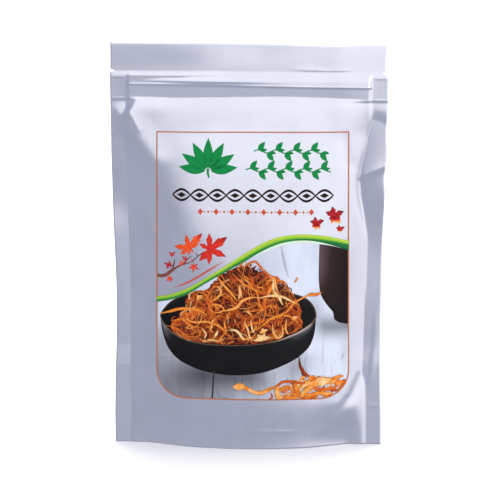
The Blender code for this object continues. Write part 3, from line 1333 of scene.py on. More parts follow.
@dataclass(frozen=True)
class PlankFinish:
    """A print of weathered boards under white paint, sharp in the foreground and out of focus behind."""

    name: str = "printed_boards"
    paint: tuple = (0.62, 0.66, 0.77)
    worn: tuple = (0.38, 0.39, 0.46)
    crack: tuple = (0.03, 0.03, 0.04)
    dim: tuple = (0.022, 0.022, 0.028)
    gloss: float = 0.16

    def build(self) -> bpy.types.Material:
        """Make the boards' material.

        Returns:
            The material.
        """
        shader = Shader(self.name)
        place = shader.place()
        near = 1.0 - shader.attribute("tone")
        streak = shader.noise(shader.scaled(place, (1.0, 1.0, 0.10)), 420.0, 5.0, 0.62)
        cloud = shader.noise(shader.scaled(place, (1.0, 1.0, 0.5)), 60.0, 3.0)
        x, y, z = shader.parts(place)
        slant = shader.node("ShaderNodeCombineXYZ", {}, {"X": x - 0.22 * z, "Y": y, "Z": 0.07 * z})
        split = shader.noise(slant, 620.0, 3.0, 0.5)
        where = shader.noise(place, 75.0, 1.0)
        tint = shader.mix(0.55 * cloud.step(0.35, 0.75), self.paint, self.worn)
        tint = shader.mix((0.7 * streak.step(0.52, 0.72) * near).clamped(), tint, self.worn)
        tint = shader.mix(0.85 * split.step(0.65, 0.70) * where.step(0.44, 0.56) * near, tint, self.crack)
        tint = shader.mix(shader.attribute("shade").clamped(), tint, self.dim)
        return shader.finish(
            Base_Color=tint,
            Roughness=0.34 + 0.1 * streak,
            Specular_IOR_Level=self.gloss,
            Normal=shader.bump(streak, 0.01 * MM, 0.4),
        )


GREENS = (
    (0.0, (0.0, 0.085, 0.03)),
    (0.35, (0.015, 0.20, 0.035)),
    (0.7, (0.17, 0.42, 0.02)),
    (1.0, (0.42, 0.58, 0.05)),
)
MIST = ((0.0, (0.22, 0.46, 0.14)), (0.45, (0.55, 0.72, 0.48)), (1.0, (0.68, 0.76, 0.72)))
BARK = ((0.0, (0.05, 0.01, 0.008)), (1.0, (0.34, 0.09, 0.05)))
LEAF_REDS = (
    (0.0, (0.07, 0.004, 0.012)),
    (0.25, (0.33, 0.006, 0.012)),
    (0.5, (0.62, 0.022, 0.010)),
    (0.72, (0.74, 0.085, 0.012)),
    (1.0, (0.80, 0.50, 0.17)),
)
STRAND_TONES = (
    (0.0, (0.035, 0.004, 0.001)),
    (0.25, (0.19, 0.017, 0.003)),
    (0.5, (0.60, 0.092, 0.006)),
    (0.72, (0.84, 0.28, 0.030)),
    (1.0, (0.86, 0.64, 0.32)),
)
BOARD_GAP = ((0.0, (0.01, 0.01, 0.015)), (1.0, (0.45, 0.46, 0.52)))
GLAZE = (
    (0.0, (0.001, 0.001, 0.001)),
    (0.4, (0.008, 0.008, 0.009)),
    (0.7, (0.06, 0.057, 0.068)),
    (1.0, (0.26, 0.23, 0.24)),
)
RIM = ((0.0, (0.015, 0.008, 0.006)), (0.5, (0.13, 0.075, 0.05)), (1.0, (0.50, 0.38, 0.33)))
CLAY = ((0.0, (0.006, 0.003, 0.003)), (0.5, (0.026, 0.010, 0.010)), (1.0, (0.10, 0.062, 0.072)))
FRAME_INK = ((0.0, (0.40, 0.11, 0.04)), (1.0, (0.50, 0.19, 0.09)))
ORNAMENT_INK = (
    (0.0, (0.014, 0.005, 0.004)),
    (0.4, (0.014, 0.005, 0.004)),
    (0.5, (0.55, 0.065, 0.03)),
    (0.6, (0.55, 0.065, 0.03)),
    (0.75, (0.0, 0.17, 0.035)),
    (1.0, (0.0, 0.22, 0.05)),
)


def polar(center: tuple, degrees: float, distance: float) -> tuple:
    """The point at a distance from a centre, in a direction in degrees."""
    turn = math.radians(degrees)
    return center[0] + distance * math.cos(turn), center[1] + distance * math.sin(turn)


def round_outline(center: tuple, tips: tuple, corner: int = 5) -> Array:
    """The outline of a flake: a smooth closed curve.

    Args:
        center: its centre.
        tips: points that it passes, as (degrees, distance), in order round it.
        corner: how many points from one to the next.

    Returns:
        The points round it, as rows of x and z.
    """
    ring = [polar(center, *tip) for tip in tips]
    wrapped = ring[-2:] + ring + ring[:2]
    path = smooth_path(tuple(wrapped), (len(wrapped) - 1) * corner + 1)
    return path[2 * corner : (2 + len(ring)) * corner]


def leaf_outline(center: tuple, tips: tuple, notch: float = 0.34, fullness: float = 0.2) -> Array:
    """The outline of a leaf of pointed lobes.

    Args:
        center: the point where the lobes meet.
        tips: each lobe's direction in degrees and its length, in order round the leaf.
        notch: the depth of the notches, as a share of the shorter lobe beside each.
        fullness: half of a lobe's width, as a share of its length.

    Returns:
        The points round it, as rows of x and z.
    """
    points = []
    for (angle, length), (next_angle, next_length) in zip(tips, tips[1:] + tips[:1]):
        a = math.radians(angle)
        along, beside = np.array([math.cos(a), math.sin(a)]), np.array([-math.sin(a), math.cos(a)])
        for reach, wide in ((0.42, -0.80), (0.62, -1.0), (0.66, -0.74), (0.86, -0.36), (1.0, 0.0)):
            points.append((reach * along + wide * fullness * beside) * length)
        for reach, wide in ((0.86, 0.36), (0.66, 0.74), (0.62, 1.0), (0.42, 0.80)):
            points.append((reach * along + wide * fullness * beside) * length)
        span = (next_angle - angle) % 360
        middle = math.radians(angle + span / 2.0)
        depth = notch * min(length, next_length) * (0.6 if span > 75 else 1.0)
        points.append(np.array([math.cos(middle), math.sin(middle)]) * depth)
    return np.array(points) + center


@dataclass(frozen=True)
class Strand:
    """One drawn line: points on it, its width in the middle, its tone and how its ends taper."""

    points: tuple
    width: float
    tone: float
    taper: tuple = (0.3, 0.3)

    def print_on(self, layer: InkLayer, **marks: object) -> None:
        """Print the line on a layer."""
        layer.stroke(self.points, self.width, self.taper, tone=self.tone, **marks)


@dataclass(frozen=True)
class Flake:
    """One pale flake: its centre, its tips as (degrees, length) and its tone."""

    center: tuple
    tips: tuple
    tone: float

    def print_on(self, layer: InkLayer, raised: float) -> None:
        """Print the flake on a layer."""
        layer.blob(self.center, round_outline(self.center, self.tips), raised=raised, tone=self.tone)


@dataclass
class Backdrop:
    """The picture's background: painted boards, a dark jug out of focus, and the frame line round it all."""

    form: PouchForm
    line: float = 0.75
    jug_side: tuple = (
        (41.3, 124.5), (41.0, 112.0), (41.0, 101.0), (42.2, 92.5), (45.6, 86.2), (49.2, 81.3), (49.9, 77.4),
        (51.6, 75.6), (54.0, 74.4), (57.3, 73.6),
    )  # fmt: skip
    board_lines: tuple = (
        Strand(((-19.4, 47.0), (-19.7, 42.0), (-20.0, 36.0), (-20.4, 30.4)), 0.95, 0.05, (1.0, 1.0)),
        Strand(
            ((-17.6, 40.0), (-18.1, 36.8), (-17.6, 34.4), (-15.4, 31.9), (-11.4, 30.7), (-5.0, 30.5)),
            0.42,
            0.35,
        ),
        Strand(((29.6, 57.0), (30.6, 52.0), (31.0, 48.0), (32.8, 42.0), (33.6, 38.0)), 0.8, 0.1),
        Strand(((-52.8, 52.6), (-49.8, 53.3), (-46.5, 53.5)), 0.5, 0.6),
        Strand(((19.0, 123.0), (20.4, 116.0), (21.8, 109.5), (23.4, 103.5)), 1.5, 0.95),
    )
    columns: int = 112

    @staticmethod
    def shadow(x: Array, z: Array, t: Array) -> Array:
        """The soft shadow that the bowl, the jug and the loose strands cast on the boards.

        Args:
            x: places across the pouch.
            z: the heights there.
            t: how far up the boards they are, which every mark is given; not used here.

        Returns:
            The shadow's depth there, from 0 to 1.
        """
        under = np.exp(-((np.clip(np.abs(x + 13.0) - 12.0, 0.0, None) / 17.0) ** 2)) * hump(z, 44.5, 9.5)
        left = 0.48 * between(-x, -12.0, 42.0) * between(-z, -82.0, -62.0)
        jug = 0.66 * between(x, 35.0, 46.0) * hump(z, 73.0, 6.5)
        jug = jug + 0.35 * hump(x, 38.5, 5.5) * hump(z, 84.0, 9.0)
        near = 0.34 * between(-x, -30.0, 20.0) * between(-z, -58.0, -38.0)
        side = 0.42 * hump(x, 27.0, 10.0) * hump(z, 50.0, 8.0)
        tangle = 0.35 * hump(x, 38.0, 20.0) * hump(z, 33.0, 6.0)
        clear = 1.0 - 0.80 * under
        for shadow in (left, jug, side, tangle, near):
            clear = clear * (1.0 - shadow)
        return 1.0 - clear

    @staticmethod
    def jug_light(x: Array, z: Array, t: Array) -> Array:
        """The jug's tone: it catches light along its left side, and less so lower down."""
        return 0.04 + 0.95 * (1.0 - t) ** 1.4 * between(z, 78.0, 110.0)

    def build(self) -> None:
        """Print the backdrop's pieces."""
        x = np.linspace(LABEL.left + 0.2, LABEL.right - 0.2, self.columns)
        boards = InkLayer(self.form, "print_boards", PlankFinish(), 0.08)
        high = LABEL.settled(x, np.full(self.columns, 118.0))[:, 0]
        top = row(high, height_on(LABEL.band_middle, high))
        low = LABEL.settled(x, LABEL.floor(x) + 0.2)
        boards.patch(low, top, 82, tone=lambda x, z, t: between(z, 48.0, 80.0), shade=self.shadow)
        boards.build()

        lines = InkLayer(self.form, "print_board_gaps", InkFinish("printed_gap", BOARD_GAP, 0.0), 0.11)
        for line in self.board_lines:
            line.print_on(lines)
        lines.build()

        side = smooth_path(self.jug_side, 60)
        level = np.linspace(121.0, 73.5, 60)
        right = row(LABEL.right_at(level) - 0.3, level)
        jug = InkLayer(self.form, "print_jug", InkFinish("printed_clay", CLAY, 0.0, 0.05, 300.0), 0.12)
        jug.patch(side, right, 18, tone=self.jug_light)
        jug.build()

        frame_line = InkLayer(self.form, "print_frame", InkFinish("printed_copper", FRAME_INK, 0.0), 0.16)
        frame_line.patch(LABEL.outline(0.0), LABEL.outline(self.line), 3, tone=0.5)
        frame_line.build()


@dataclass
class Bowl:
    """The picture's shallow dark bowl: outside, inside and its worn brown rim."""

    form: PouchForm
    foot: tuple = (
        (-50.8, 78.2), (-50.0, 70.6), (-48.0, 63.4), (-45.2, 57.8), (-39.8, 52.6), (-32.9, 49.2),
        (-25.2, 46.8), (-16.0, 45.4), (-6.2, 45.0), (5.2, 46.0), (12.7, 47.8), (20.3, 50.7), (26.3, 53.6),
        (30.8, 56.6), (35.3, 61.0), (37.9, 66.4), (39.1, 72.5), (39.5, 79.0),
    )  # fmt: skip
    front_rim: tuple = (
        (-50.8, 78.2), (-49.8, 75.4), (-47.5, 72.2), (-42.9, 68.2), (-34.4, 64.6), (-25.2, 63.2),
        (-13.8, 62.9), (-1.7, 63.2), (8.9, 64.2), (17.9, 65.9), (25.5, 68.6), (31.5, 71.4), (36.7, 75.0),
        (39.5, 79.0),
    )  # fmt: skip
    back_rim: tuple = (
        (-50.8, 78.2), (-48.5, 82.4), (-43.6, 87.6), (-34.4, 92.4), (-20.0, 95.4), (-5.0, 96.2),
        (12.0, 95.6), (24.0, 94.0), (32.3, 91.2), (36.7, 87.4), (39.0, 82.9), (39.5, 79.0),
    )  # fmt: skip

    @staticmethod
    def sheen(x: Array, z: Array, t: Array) -> Array:
        """Where the glaze catches light: the flanks, a streak under the right rim and the lip.

        Args:
            x: places across the pouch.
            z: the heights there; not used.
            t: how far up the bowl they are, from 0 to 1.

        Returns:
            The tone there.
        """
        left = 0.62 * hump(x, -49.5, 4.5) * between(t, 0.0, 0.8)
        right = 0.45 * hump(x, 33.0, 10.0) * between(t, 0.35, 1.0)
        streak = 0.22 * hump(x, 37.5, 4.0) * between(t, 0.4, 1.0)
        lip = 0.25 * between(t, 0.8, 1.0) * between(np.abs(x + 6.0), 10.0, 40.0)
        return np.clip(0.22 + left + right + streak + lip, 0.0, 1.0)

    def build(self) -> None:
        """Print the bowl."""
        foot, front, back = (smooth_path(line, 92) for line in (self.foot, self.front_rim, self.back_rim))
        glaze = InkFinish("printed_glaze", GLAZE, 0.0, 0.14, 130.0, (0.5, 1.0, 1.6), 0.30)
        inside = InkLayer(self.form, "print_bowl_inside", glaze, 0.11)
        inside.patch(front, back, 26, tone=lambda x, z, t: 0.10 + 0.35 * t**6)
        inside.build()
        outside = InkLayer(self.form, "print_bowl_outside", glaze, 0.13)
        outside.patch(foot, front, 26, tone=self.sheen)
        outside.build()
        rim = InkLayer(self.form, "print_bowl_rim", InkFinish("printed_rim", RIM, 0.1, 0.14, 500.0), 0.16)
        across = front[:, 0]
        light = 0.32 + 0.55 * between(across, 6.0, 28.0) * (1.0 - between(across, 35.0, 39.0))
        light = light + 0.30 * hump(across, -38.0, 9.0)
        thick = 0.75 + 0.35 * between(across, 6.0, 30.0)
        rim.strands(front[None, :, 0], front[None, :, 1], thick[None], rim.lift, 0.03, tone=light[None])
        rim.strands(back[None, :, 0], back[None, :, 1], np.full((1, 92), 0.7), rim.lift, 0.03, tone=0.28)
        rim.build()


# the heap's strands that stand out
LONG_STRANDS = (
    Strand(((-16.0, 83.0), (-10.0, 84.2), (-6.0, 86.0), (-3.0, 89.6), (2.0, 91.6), (7.0, 91.6)), 1.7, 0.76),
    Strand(((6.0, 91.3), (13.3, 92.7), (19.3, 92.2), (23.8, 90.2), (27.4, 88.0)), 1.5, 0.92),
    Strand(
        ((-50.8, 79.3), (-45.2, 81.2), (-39.8, 83.1), (-34.0, 83.8), (-28.0, 83.1), (-23.7, 80.6)),
        1.9, 0.66,
    ),
    Strand(
        ((-23.0, 84.5), (-20.0, 87.0), (-16.1, 86.6), (-13.6, 84.2), (-17.0, 82.3), (-21.6, 82.9)),
        1.1, 0.70,
    ),
    Strand(
        ((5.0, 72.0), (8.9, 75.2), (13.4, 79.0), (18.6, 80.9), (23.9, 80.3), (27.7, 77.6), (31.6, 72.8)),
        1.1, 0.68,
    ),
    Strand(((22.0, 82.0), (24.6, 85.4), (27.2, 88.2), (30.4, 90.3), (34.3, 92.0), (37.0, 92.5)), 1.1, 0.70),
    Strand(((33.6, 91.9), (36.5, 92.8), (39.6, 92.5), (42.8, 93.8)), 1.9, 0.62),
    Strand(
        (
            (-3.2, 108.4), (0.2, 111.3), (4.4, 112.6), (7.4, 109.6), (11.5, 105.5), (17.0, 102.6),
            (22.3, 98.6),
        ),
        1.2, 0.56,
    ),
    Strand(((13.2, 105.0), (15.4, 102.1), (16.1, 98.5), (17.8, 94.2)), 1.4, 0.80),
    Strand(((-17.5, 103.5), (-14.0, 99.0), (-9.0, 93.5), (-6.0, 89.6)), 1.4, 0.70),
    Strand(((-20.0, 97.8), (-16.2, 97.2), (-15.4, 93.6), (-18.4, 90.2), (-21.5, 88.6)), 1.2, 0.74),
    Strand(((-9.0, 106.0), (-4.0, 101.0), (2.0, 97.0), (9.0, 94.8)), 1.2, 0.60),
    Strand(((-5.0, 98.5), (-4.2, 94.0), (-5.2, 90.6)), 1.6, 0.86),
    Strand(((-38.0, 78.0), (-31.0, 75.8), (-24.0, 76.6), (-17.0, 74.6), (-12.0, 71.0)), 1.3, 0.72),
    Strand(((-9.5, 72.8), (-6.0, 71.6), (-3.6, 68.8), (-1.8, 66.2)), 1.7, 0.95),
    Strand(((-2.0, 77.5), (0.2, 73.0), (1.2, 68.6), (3.2, 66.2)), 1.2, 0.88),
    Strand(((2.0, 78.5), (2.6, 73.6), (4.2, 70.4)), 1.0, 0.92),
    Strand(((-26.5, 72.6), (-24.0, 69.2), (-25.0, 66.2)), 1.1, 0.90),
    Strand(((-47.3, 72.6), (-41.5, 71.4), (-37.2, 68.6), (-33.0, 66.2)), 0.9, 0.60),
    Strand(((14.6, 76.5), (15.0, 71.0), (17.6, 67.6), (20.4, 69.6), (20.0, 75.0)), 1.3, 0.80),
    Strand(((22.6, 78.6), (22.0, 73.0), (23.6, 69.6)), 1.2, 0.78),
    Strand(((9.6, 90.0), (10.4, 85.0), (9.8, 80.0), (7.6, 75.0)), 1.0, 0.55),
    Strand(((27.0, 100.4), (28.0, 101.6), (28.7, 103.4)), 1.1, 0.62),
    Strand(((-44.5, 75.5), (-38.0, 77.0), (-33.0, 73.6), (-27.0, 73.0)), 1.2, 0.62),
)
# the pale flakes among them
HEAP_FLAKES = (
    Flake(
        (8.4, 67.6),
        ((5, 5.0), (30, 2.6), (62, 3.6), (95, 1.8), (140, 3.6), (172, 2.6), (200, 5.2), (290, 1.8)),
        0.90,
    ),
    Flake((9.4, 72.0), ((20, 2.4), (70, 1.0), (120, 1.8), (215, 2.8), (310, 1.3)), 0.80),
    Flake((-18.0, 69.4), ((70, 2.6), (160, 0.8), (240, 3.0), (350, 0.9)), 0.90),
    Flake((-28.4, 91.2), ((30, 2.4), (75, 1.0), (120, 1.8), (250, 2.4), (310, 1.0)), 0.76),
    Flake((27.6, 79.4), ((30, 1.6), (80, 0.8), (130, 1.5), (215, 2.0), (320, 1.2)), 0.84),
)
# the strands on the boards: three thin dark ones and the thick pale ones
LOOSE_STRANDS = (
    Strand(((29.8, 56.0), (30.4, 50.0), (32.4, 45.6), (34.6, 42.8)), 0.8, 0.30),
    Strand(((31.0, 50.5), (33.0, 46.4), (36.0, 43.4), (39.0, 41.6)), 1.1, 0.40),
    Strand(((12.5, 29.4), (14.6, 32.0), (13.6, 34.4)), 0.8, 0.45),
    Strand(
        ((-7.6, 37.6), (-3.4, 38.6), (0.6, 36.6), (5.2, 34.6), (9.4, 34.9), (13.6, 37.2), (18.5, 38.6)),
        1.9, 0.80,
    ),
    Strand(((12.0, 36.4), (17.0, 38.4), (20.6, 41.0), (26.3, 41.0), (31.6, 39.8), (38.4, 39.8)), 1.3, 0.52),
    Strand(((17.6, 39.2), (17.3, 35.0), (18.2, 31.8), (20.4, 29.2)), 2.6, 0.84),
    Strand(((21.2, 34.2), (24.3, 36.6), (27.6, 34.2)), 1.2, 0.66),
    Strand(((27.4, 40.2), (28.6, 35.6), (30.6, 29.6)), 2.1, 0.70),
    Strand(((20.6, 30.0), (24.6, 31.6), (28.8, 29.8)), 1.8, 0.72),
    Strand(((31.4, 29.4), (32.4, 33.4), (35.2, 36.4), (39.4, 38.6), (44.0, 39.2)), 2.4, 0.82),
    Strand(((35.2, 30.4), (38.6, 33.0), (42.8, 33.0), (46.6, 30.6)), 1.7, 0.74),
    Strand(((37.0, 38.2), (41.6, 35.4), (46.8, 35.2), (52.4, 36.6)), 1.7, 0.60),
    Strand(((31.2, 36.8), (35.2, 39.6), (41.4, 41.0), (48.0, 40.4), (54.6, 39.0)), 3.0, 0.86),
    Strand(((46.0, 38.4), (50.6, 41.6), (55.6, 42.6)), 1.8, 0.70),
    Strand(((29.2, 32.4), (33.6, 30.8), (39.4, 29.0)), 1.4, 0.58),
    Strand(((43.0, 34.4), (46.2, 32.6), (49.4, 33.2)), 1.3, 0.80),
)
# the pale ones' swollen ends
LOOSE_FLAKES = (
    Flake((-4.6, 38.2), ((10, 3.4), (60, 2.4), (120, 2.3), (185, 4.0), (250, 2.2), (310, 2.3)), 0.76),
    Flake((37.2, 42.2), ((40, 2.6), (130, 2.0), (230, 2.0), (330, 2.6)), 0.60),
    Flake((52.6, 38.6), ((20, 2.8), (120, 2.0), (210, 2.4), (310, 1.8)), 0.66),
    Flake((43.2, 39.0), ((10, 3.4), (100, 1.9), (190, 3.0), (290, 1.8)), 0.90),
)


@dataclass
class StrandPile:
    """The picture's heap of dried strands, and the few that lie loose on the boards in front."""

    form: PouchForm
    count: int = 640
    steps: int = 16
    seed: int = 21
    left: float = -41.0
    right: float = 30.0
    home: tuple = (-4.0, 83.0)
    steer: float = 0.34
    tangle_count: int = 46
    tangle_steps: int = 12
    top: tuple = (
        (-44.0, 72.0), (-41.0, 76.0), (-37.5, 80.5), (-35.0, 86.5), (-33.4, 91.8), (-29.1, 93.0),
        (-23.5, 94.2), (-20.7, 97.2), (-16.9, 102.5), (-13.0, 107.0), (-7.5, 110.5), (-1.0, 112.0),
        (4.0, 110.0), (8.7, 106.4), (13.2, 104.0), (19.3, 100.4), (24.0, 96.6), (27.2, 92.0), (29.0, 86.0),
        (30.6, 79.0), (32.0, 75.0),
    )  # fmt: skip
    bottom: tuple = (
        (-44.0, 70.0), (-40.0, 67.4), (-34.4, 65.3), (-25.0, 64.0), (-13.8, 63.6), (-1.7, 63.9),
        (8.9, 64.9), (16.4, 66.4), (23.9, 69.2), (30.0, 72.4), (32.0, 73.6),
    )  # fmt: skip

    def wander(self) -> tuple:
        """Walk every strand of the heap: a curling path that turns back where it would leave the heap.

        Returns:
            The strands' x and z, each as strands by steps.
        """
        rng = np.random.default_rng(self.seed)
        x = rng.uniform(self.left, self.right, self.count)
        low, high = height_on(self.bottom, x), height_on(self.top, x)
        z = low + (high - low) * rng.uniform(0.02, 0.97, self.count)
        heading = rng.normal(math.pi / 2.0, 1.0, self.count) + math.pi * (rng.random(self.count) < 0.5)
        stride = rng.uniform(4.0, 20.0, self.count) / self.steps
        curl = rng.normal(0.0, 0.055, self.count)
        swing, rhythm = rng.uniform(0.02, 0.24, self.count), rng.uniform(0.35, 1.1, self.count)
        phase = rng.uniform(0.0, 2.0 * math.pi, self.count)
        xs, zs = [x], [z]
        for step in range(self.steps - 1):
            low, high = height_on(self.bottom, x), height_on(self.top, x)
            outside = (z > high - 0.3) | (z < low + 0.8) | (x < self.left - 2.0) | (x > self.right + 1.0)
            home = np.arctan2(self.home[1] - z, self.home[0] - x)
            turn = (home - heading + math.pi) % (2.0 * math.pi) - math.pi
            heading = heading + curl + swing * np.sin(rhythm * step + phase)
            heading = heading + np.where(outside, self.steer * turn, 0.0)
            x = x + stride * np.cos(heading)
            z = z + stride * np.sin(heading)
            z = np.minimum(z, height_on(LABEL.band_middle, x))
            z = np.maximum(z, height_on(self.bottom, x) + 0.1)
            xs.append(x)
            zs.append(z)
        return np.stack(xs, 1), np.stack(zs, 1)

    def print_heap(self) -> None:
        """Print the heap: a dark bed, strands from dark to pale, then the long ones and the flakes."""
        finish = InkFinish("printed_strands", STRAND_TONES, 0.30, 0.18, 700.0, (1.0, 1.0, 0.6), 0.40)
        heap = InkLayer(self.form, "print_strand_heap", finish, 0.14)
        x = np.linspace(-43.5, 31.6, 76)
        low, high = height_on(self.bottom, x), height_on(self.top, x)
        heap.patch(row(x, low), row(x, np.maximum(high - 1.8, low + 0.3)), 28, tone=0.06)

        rng = np.random.default_rng(self.seed + 1)
        xs, zs = self.wander()
        order = np.linspace(0.0, 1.0, self.count)[:, None]
        t = np.linspace(0.0, 1.0, self.steps)[None, :]
        tone = 0.22 + 0.36 * order + rng.normal(0.0, 0.13, (self.count, 1))
        tone = tone + 0.26 * (rng.random((self.count, 1)) > 0.88) * (order > 0.4)
        tone = tone + 0.06 * np.sin(9.0 * t + rng.uniform(0.0, 6.0, (self.count, 1)))
        taper = (0.25 + 0.75 * ease(t / 0.25)) * (0.25 + 0.75 * ease((1.0 - t) / 0.25))
        width = (0.4 + 1.8 * rng.random((self.count, 1)) ** 3.0) * taper
        hollow = between(Waves(61, 4.0, 13.0, 1.0).at(xs, zs), 0.1, 1.1)
        shade = 0.30 * (1.0 - order) + 0.12 * between(-zs, -78.0, -64.0) + 0.60 * hollow * (1.0 - 0.6 * order)
        lift = heap.lift + 0.02 + 0.16 * order
        heap.strands(xs, zs, width, lift, 0.09, tone=np.clip(tone, 0.05, 0.95), shade=shade)
        for strand in LONG_STRANDS:
            strand.print_on(heap, raised=0.10, lift=0.20)
        for flake in HEAP_FLAKES:
            flake.print_on(heap, 0.25)
        heap.build()

    def print_loose(self) -> None:
        """Print the strands that lie loose on the boards, thick and pale."""
        finish = InkFinish("printed_loose_strands", STRAND_TONES, 0.24, 0.30, 420.0, (1.0, 1.0, 0.7), 0.40)
        loose = InkLayer(self.form, "print_loose_strands", finish, 0.14)
        self.print_tangle(loose)
        for strand in LOOSE_STRANDS:
            x, z = np.array(strand.points, float).T
            low = LABEL.settled(x, LABEL.floor(x))[:, 1] + 0.75 * strand.width
            kept = tuple(map(tuple, row(x, np.maximum(z, low))))
            placed = Strand(kept, 1.3 * strand.width, strand.tone - 0.05, (0.45, 0.45))
            placed.print_on(loose, raised=0.14, lift=0.08)
        for flake in LOOSE_FLAKES:
            flake.print_on(loose, 0.2)
        loose.build()

    def print_tangle(self, layer: InkLayer) -> None:
        """Print the short strands that fill the tangle on the right: bent arcs, kept inside the frame.

        Args:
            layer: the layer that they go on.
        """
        rng = np.random.default_rng(self.seed + 2)
        count, steps = self.tangle_count, self.tangle_steps
        t = np.linspace(0.0, 1.0, steps)[None, :]
        heading = rng.normal(0.25, 0.85, (count, 1)) + rng.normal(0.0, 1.1, (count, 1)) * (t - 0.5)
        stride = rng.uniform(4.0, 10.0, (count, 1)) / steps
        x = rng.uniform(17.0, 52.0, (count, 1)) + np.cumsum(stride * np.cos(heading), 1)
        z = 30.5 + 9.5 * rng.random((count, 1)) + np.cumsum(stride * np.sin(heading), 1)
        x = np.minimum(x, 57.0)
        floor = LABEL.settled(x, LABEL.floor(np.clip(x - 1.0, 0.0, 57.0)))[..., 1]
        z = np.clip(z, floor + 1.4, 35.5 + 8.0 * between(x, 14.0, 34.0))
        taper = 0.35 + 0.65 * np.sin(math.pi * t)
        width = rng.uniform(0.8, 2.2, (count, 1)) * taper
        tone = np.clip(rng.normal(0.62, 0.14, (count, 1)), 0.35, 0.92)
        layer.strands(x, z, width, layer.lift, 0.08, tone=tone, shade=0.12 * (1.0 - taper))

    def build(self) -> None:
        """Print the heap and the loose strands."""
        self.print_heap()
        self.print_loose()


@dataclass(frozen=True)
class MapleLeaf:
    """One printed maple leaf: its centre, its lobes' tips, its tone and whether it is turning yellow."""

    center: tuple
    tips: tuple
    tone: float
    turning: bool = False

    def print_on(self, layer: InkLayer) -> None:
        """Print the leaf: dark tips, and a yellow fringe below where it is turning.

        Args:
            layer: the layer that it goes on.
        """

        def tone(x: Array, z: Array, out: Array) -> Array:
            """The leaf's tone.

            Args:
                x: places across the pouch.
                z: the heights there.
                out: how far out in the leaf they are, from 0 to 1; not used.

            Returns:
                The tone at each point.
            """
            reach = np.hypot(x - self.center[0], z - self.center[1]) / max(length for _, length in self.tips)
            plain = self.tone + 0.10 * np.sin(x * 1.7 + z * 2.3) - 0.45 * between(reach, 0.62, 1.05)
            fringe = between(self.center[1] - z, 0.30 * self.tips[0][1], 0.62 * self.tips[0][1])
            return np.where(self.turning, plain * (1.0 - fringe) + 0.95 * fringe, plain)

        notch, fullness = (0.55, 0.30) if self.turning else (0.34, 0.20)
        layer.blob(self.center, leaf_outline(self.center, self.tips, notch, fullness), tone=tone)


LEAVES = (
    MapleLeaf(
        (-34.0, 119.8),
        ((23, 6.2), (49, 11.6), (104, 7.8), (177, 8.7), (221, 6.6), (268, 4.4), (316, 3.8)),
        0.66,
    ),
    MapleLeaf(
        (-22.0, 119.3), ((36, 12.6), (92, 9.4), (153, 6.9), (230, 9.4), (268, 8.8), (337, 10.3)), 0.47
    ),
    MapleLeaf((-43.9, 115.3), ((38, 2.7), (92, 1.3), (150, 2.4), (215, 1.7), (266, 1.8), (330, 1.8)), 0.36),
    MapleLeaf(
        (-45.4, 109.0),
        ((40, 2.0), (92, 2.6), (165, 3.3), (200, 2.4), (237, 3.0), (300, 1.7), (350, 2.2)),
        0.34,
    ),
    MapleLeaf((-36.4, 113.0), ((10, 2.0), (62, 2.3), (130, 2.3), (200, 1.8), (290, 2.2)), 0.42),
    MapleLeaf((-38.4, 110.6), ((20, 1.9), (100, 1.8), (170, 1.8), (240, 2.4), (310, 1.8)), 0.66),
    MapleLeaf((-31.9, 112.2), ((30, 1.3), (120, 1.3), (210, 1.2), (300, 1.4)), 0.38),
    MapleLeaf((-31.2, 108.6), ((41, 3.1), (88, 2.2), (135, 2.6), (193, 3.2), (262, 3.2), (338, 3.3)), 0.56),
    MapleLeaf((-45.4, 101.2), ((5, 2.2), (80, 2.0), (165, 1.9), (228, 2.8), (278, 2.8), (318, 2.4)), 0.62),
    MapleLeaf(
        (49.5, 138.7),
        ((22, 6.0), (101, 5.4), (154, 5.3), (216, 3.6), (255, 5.0), (284, 4.0), (306, 6.2), (340, 4.0)),
        0.28,
        True,
    ),
    MapleLeaf(
        (39.4, 134.9),
        ((17, 4.6), (107, 3.7), (166, 3.9), (228, 3.6), (267, 4.4), (300, 4.4), (343, 2.8)),
        0.28,
        True,
    ),
    MapleLeaf(
        (53.0, 131.0), ((8, 2.8), (112, 2.2), (172, 2.4), (227, 2.2), (272, 2.6), (313, 2.4)), 0.30, True
    ),
)


TWIG = (
    Strand(
        ((-52.9, 102.2), (-50.0, 102.0), (-47.0, 103.2), (-44.6, 105.3), (-41.8, 107.5)),
        1.9,
        0.6,
        (1.0, 0.7),
    ),
    Strand(((-42.6, 106.9), (-39.5, 109.0), (-37.1, 110.1), (-33.4, 111.1)), 1.1, 0.5, (0.9, 0.35)),
    Strand(((-43.8, 106.6), (-42.7, 109.6), (-42.4, 112.6)), 0.7, 0.3, (0.9, 0.5)),
    Strand(((-39.0, 109.3), (-36.2, 111.6), (-34.5, 113.4), (-32.3, 115.2)), 0.6, 0.4, (0.9, 0.4)),
    Strand(
        ((-33.6, 111.0), (-30.3, 113.5), (-28.8, 115.1), (-27.0, 116.5), (-24.4, 118.2)),
        0.55,
        0.2,
        (0.9, 0.9),
    ),
    Strand(((-28.9, 115.2), (-29.6, 116.2), (-30.4, 117.0)), 0.4, 0.2, (0.9, 0.5)),
)


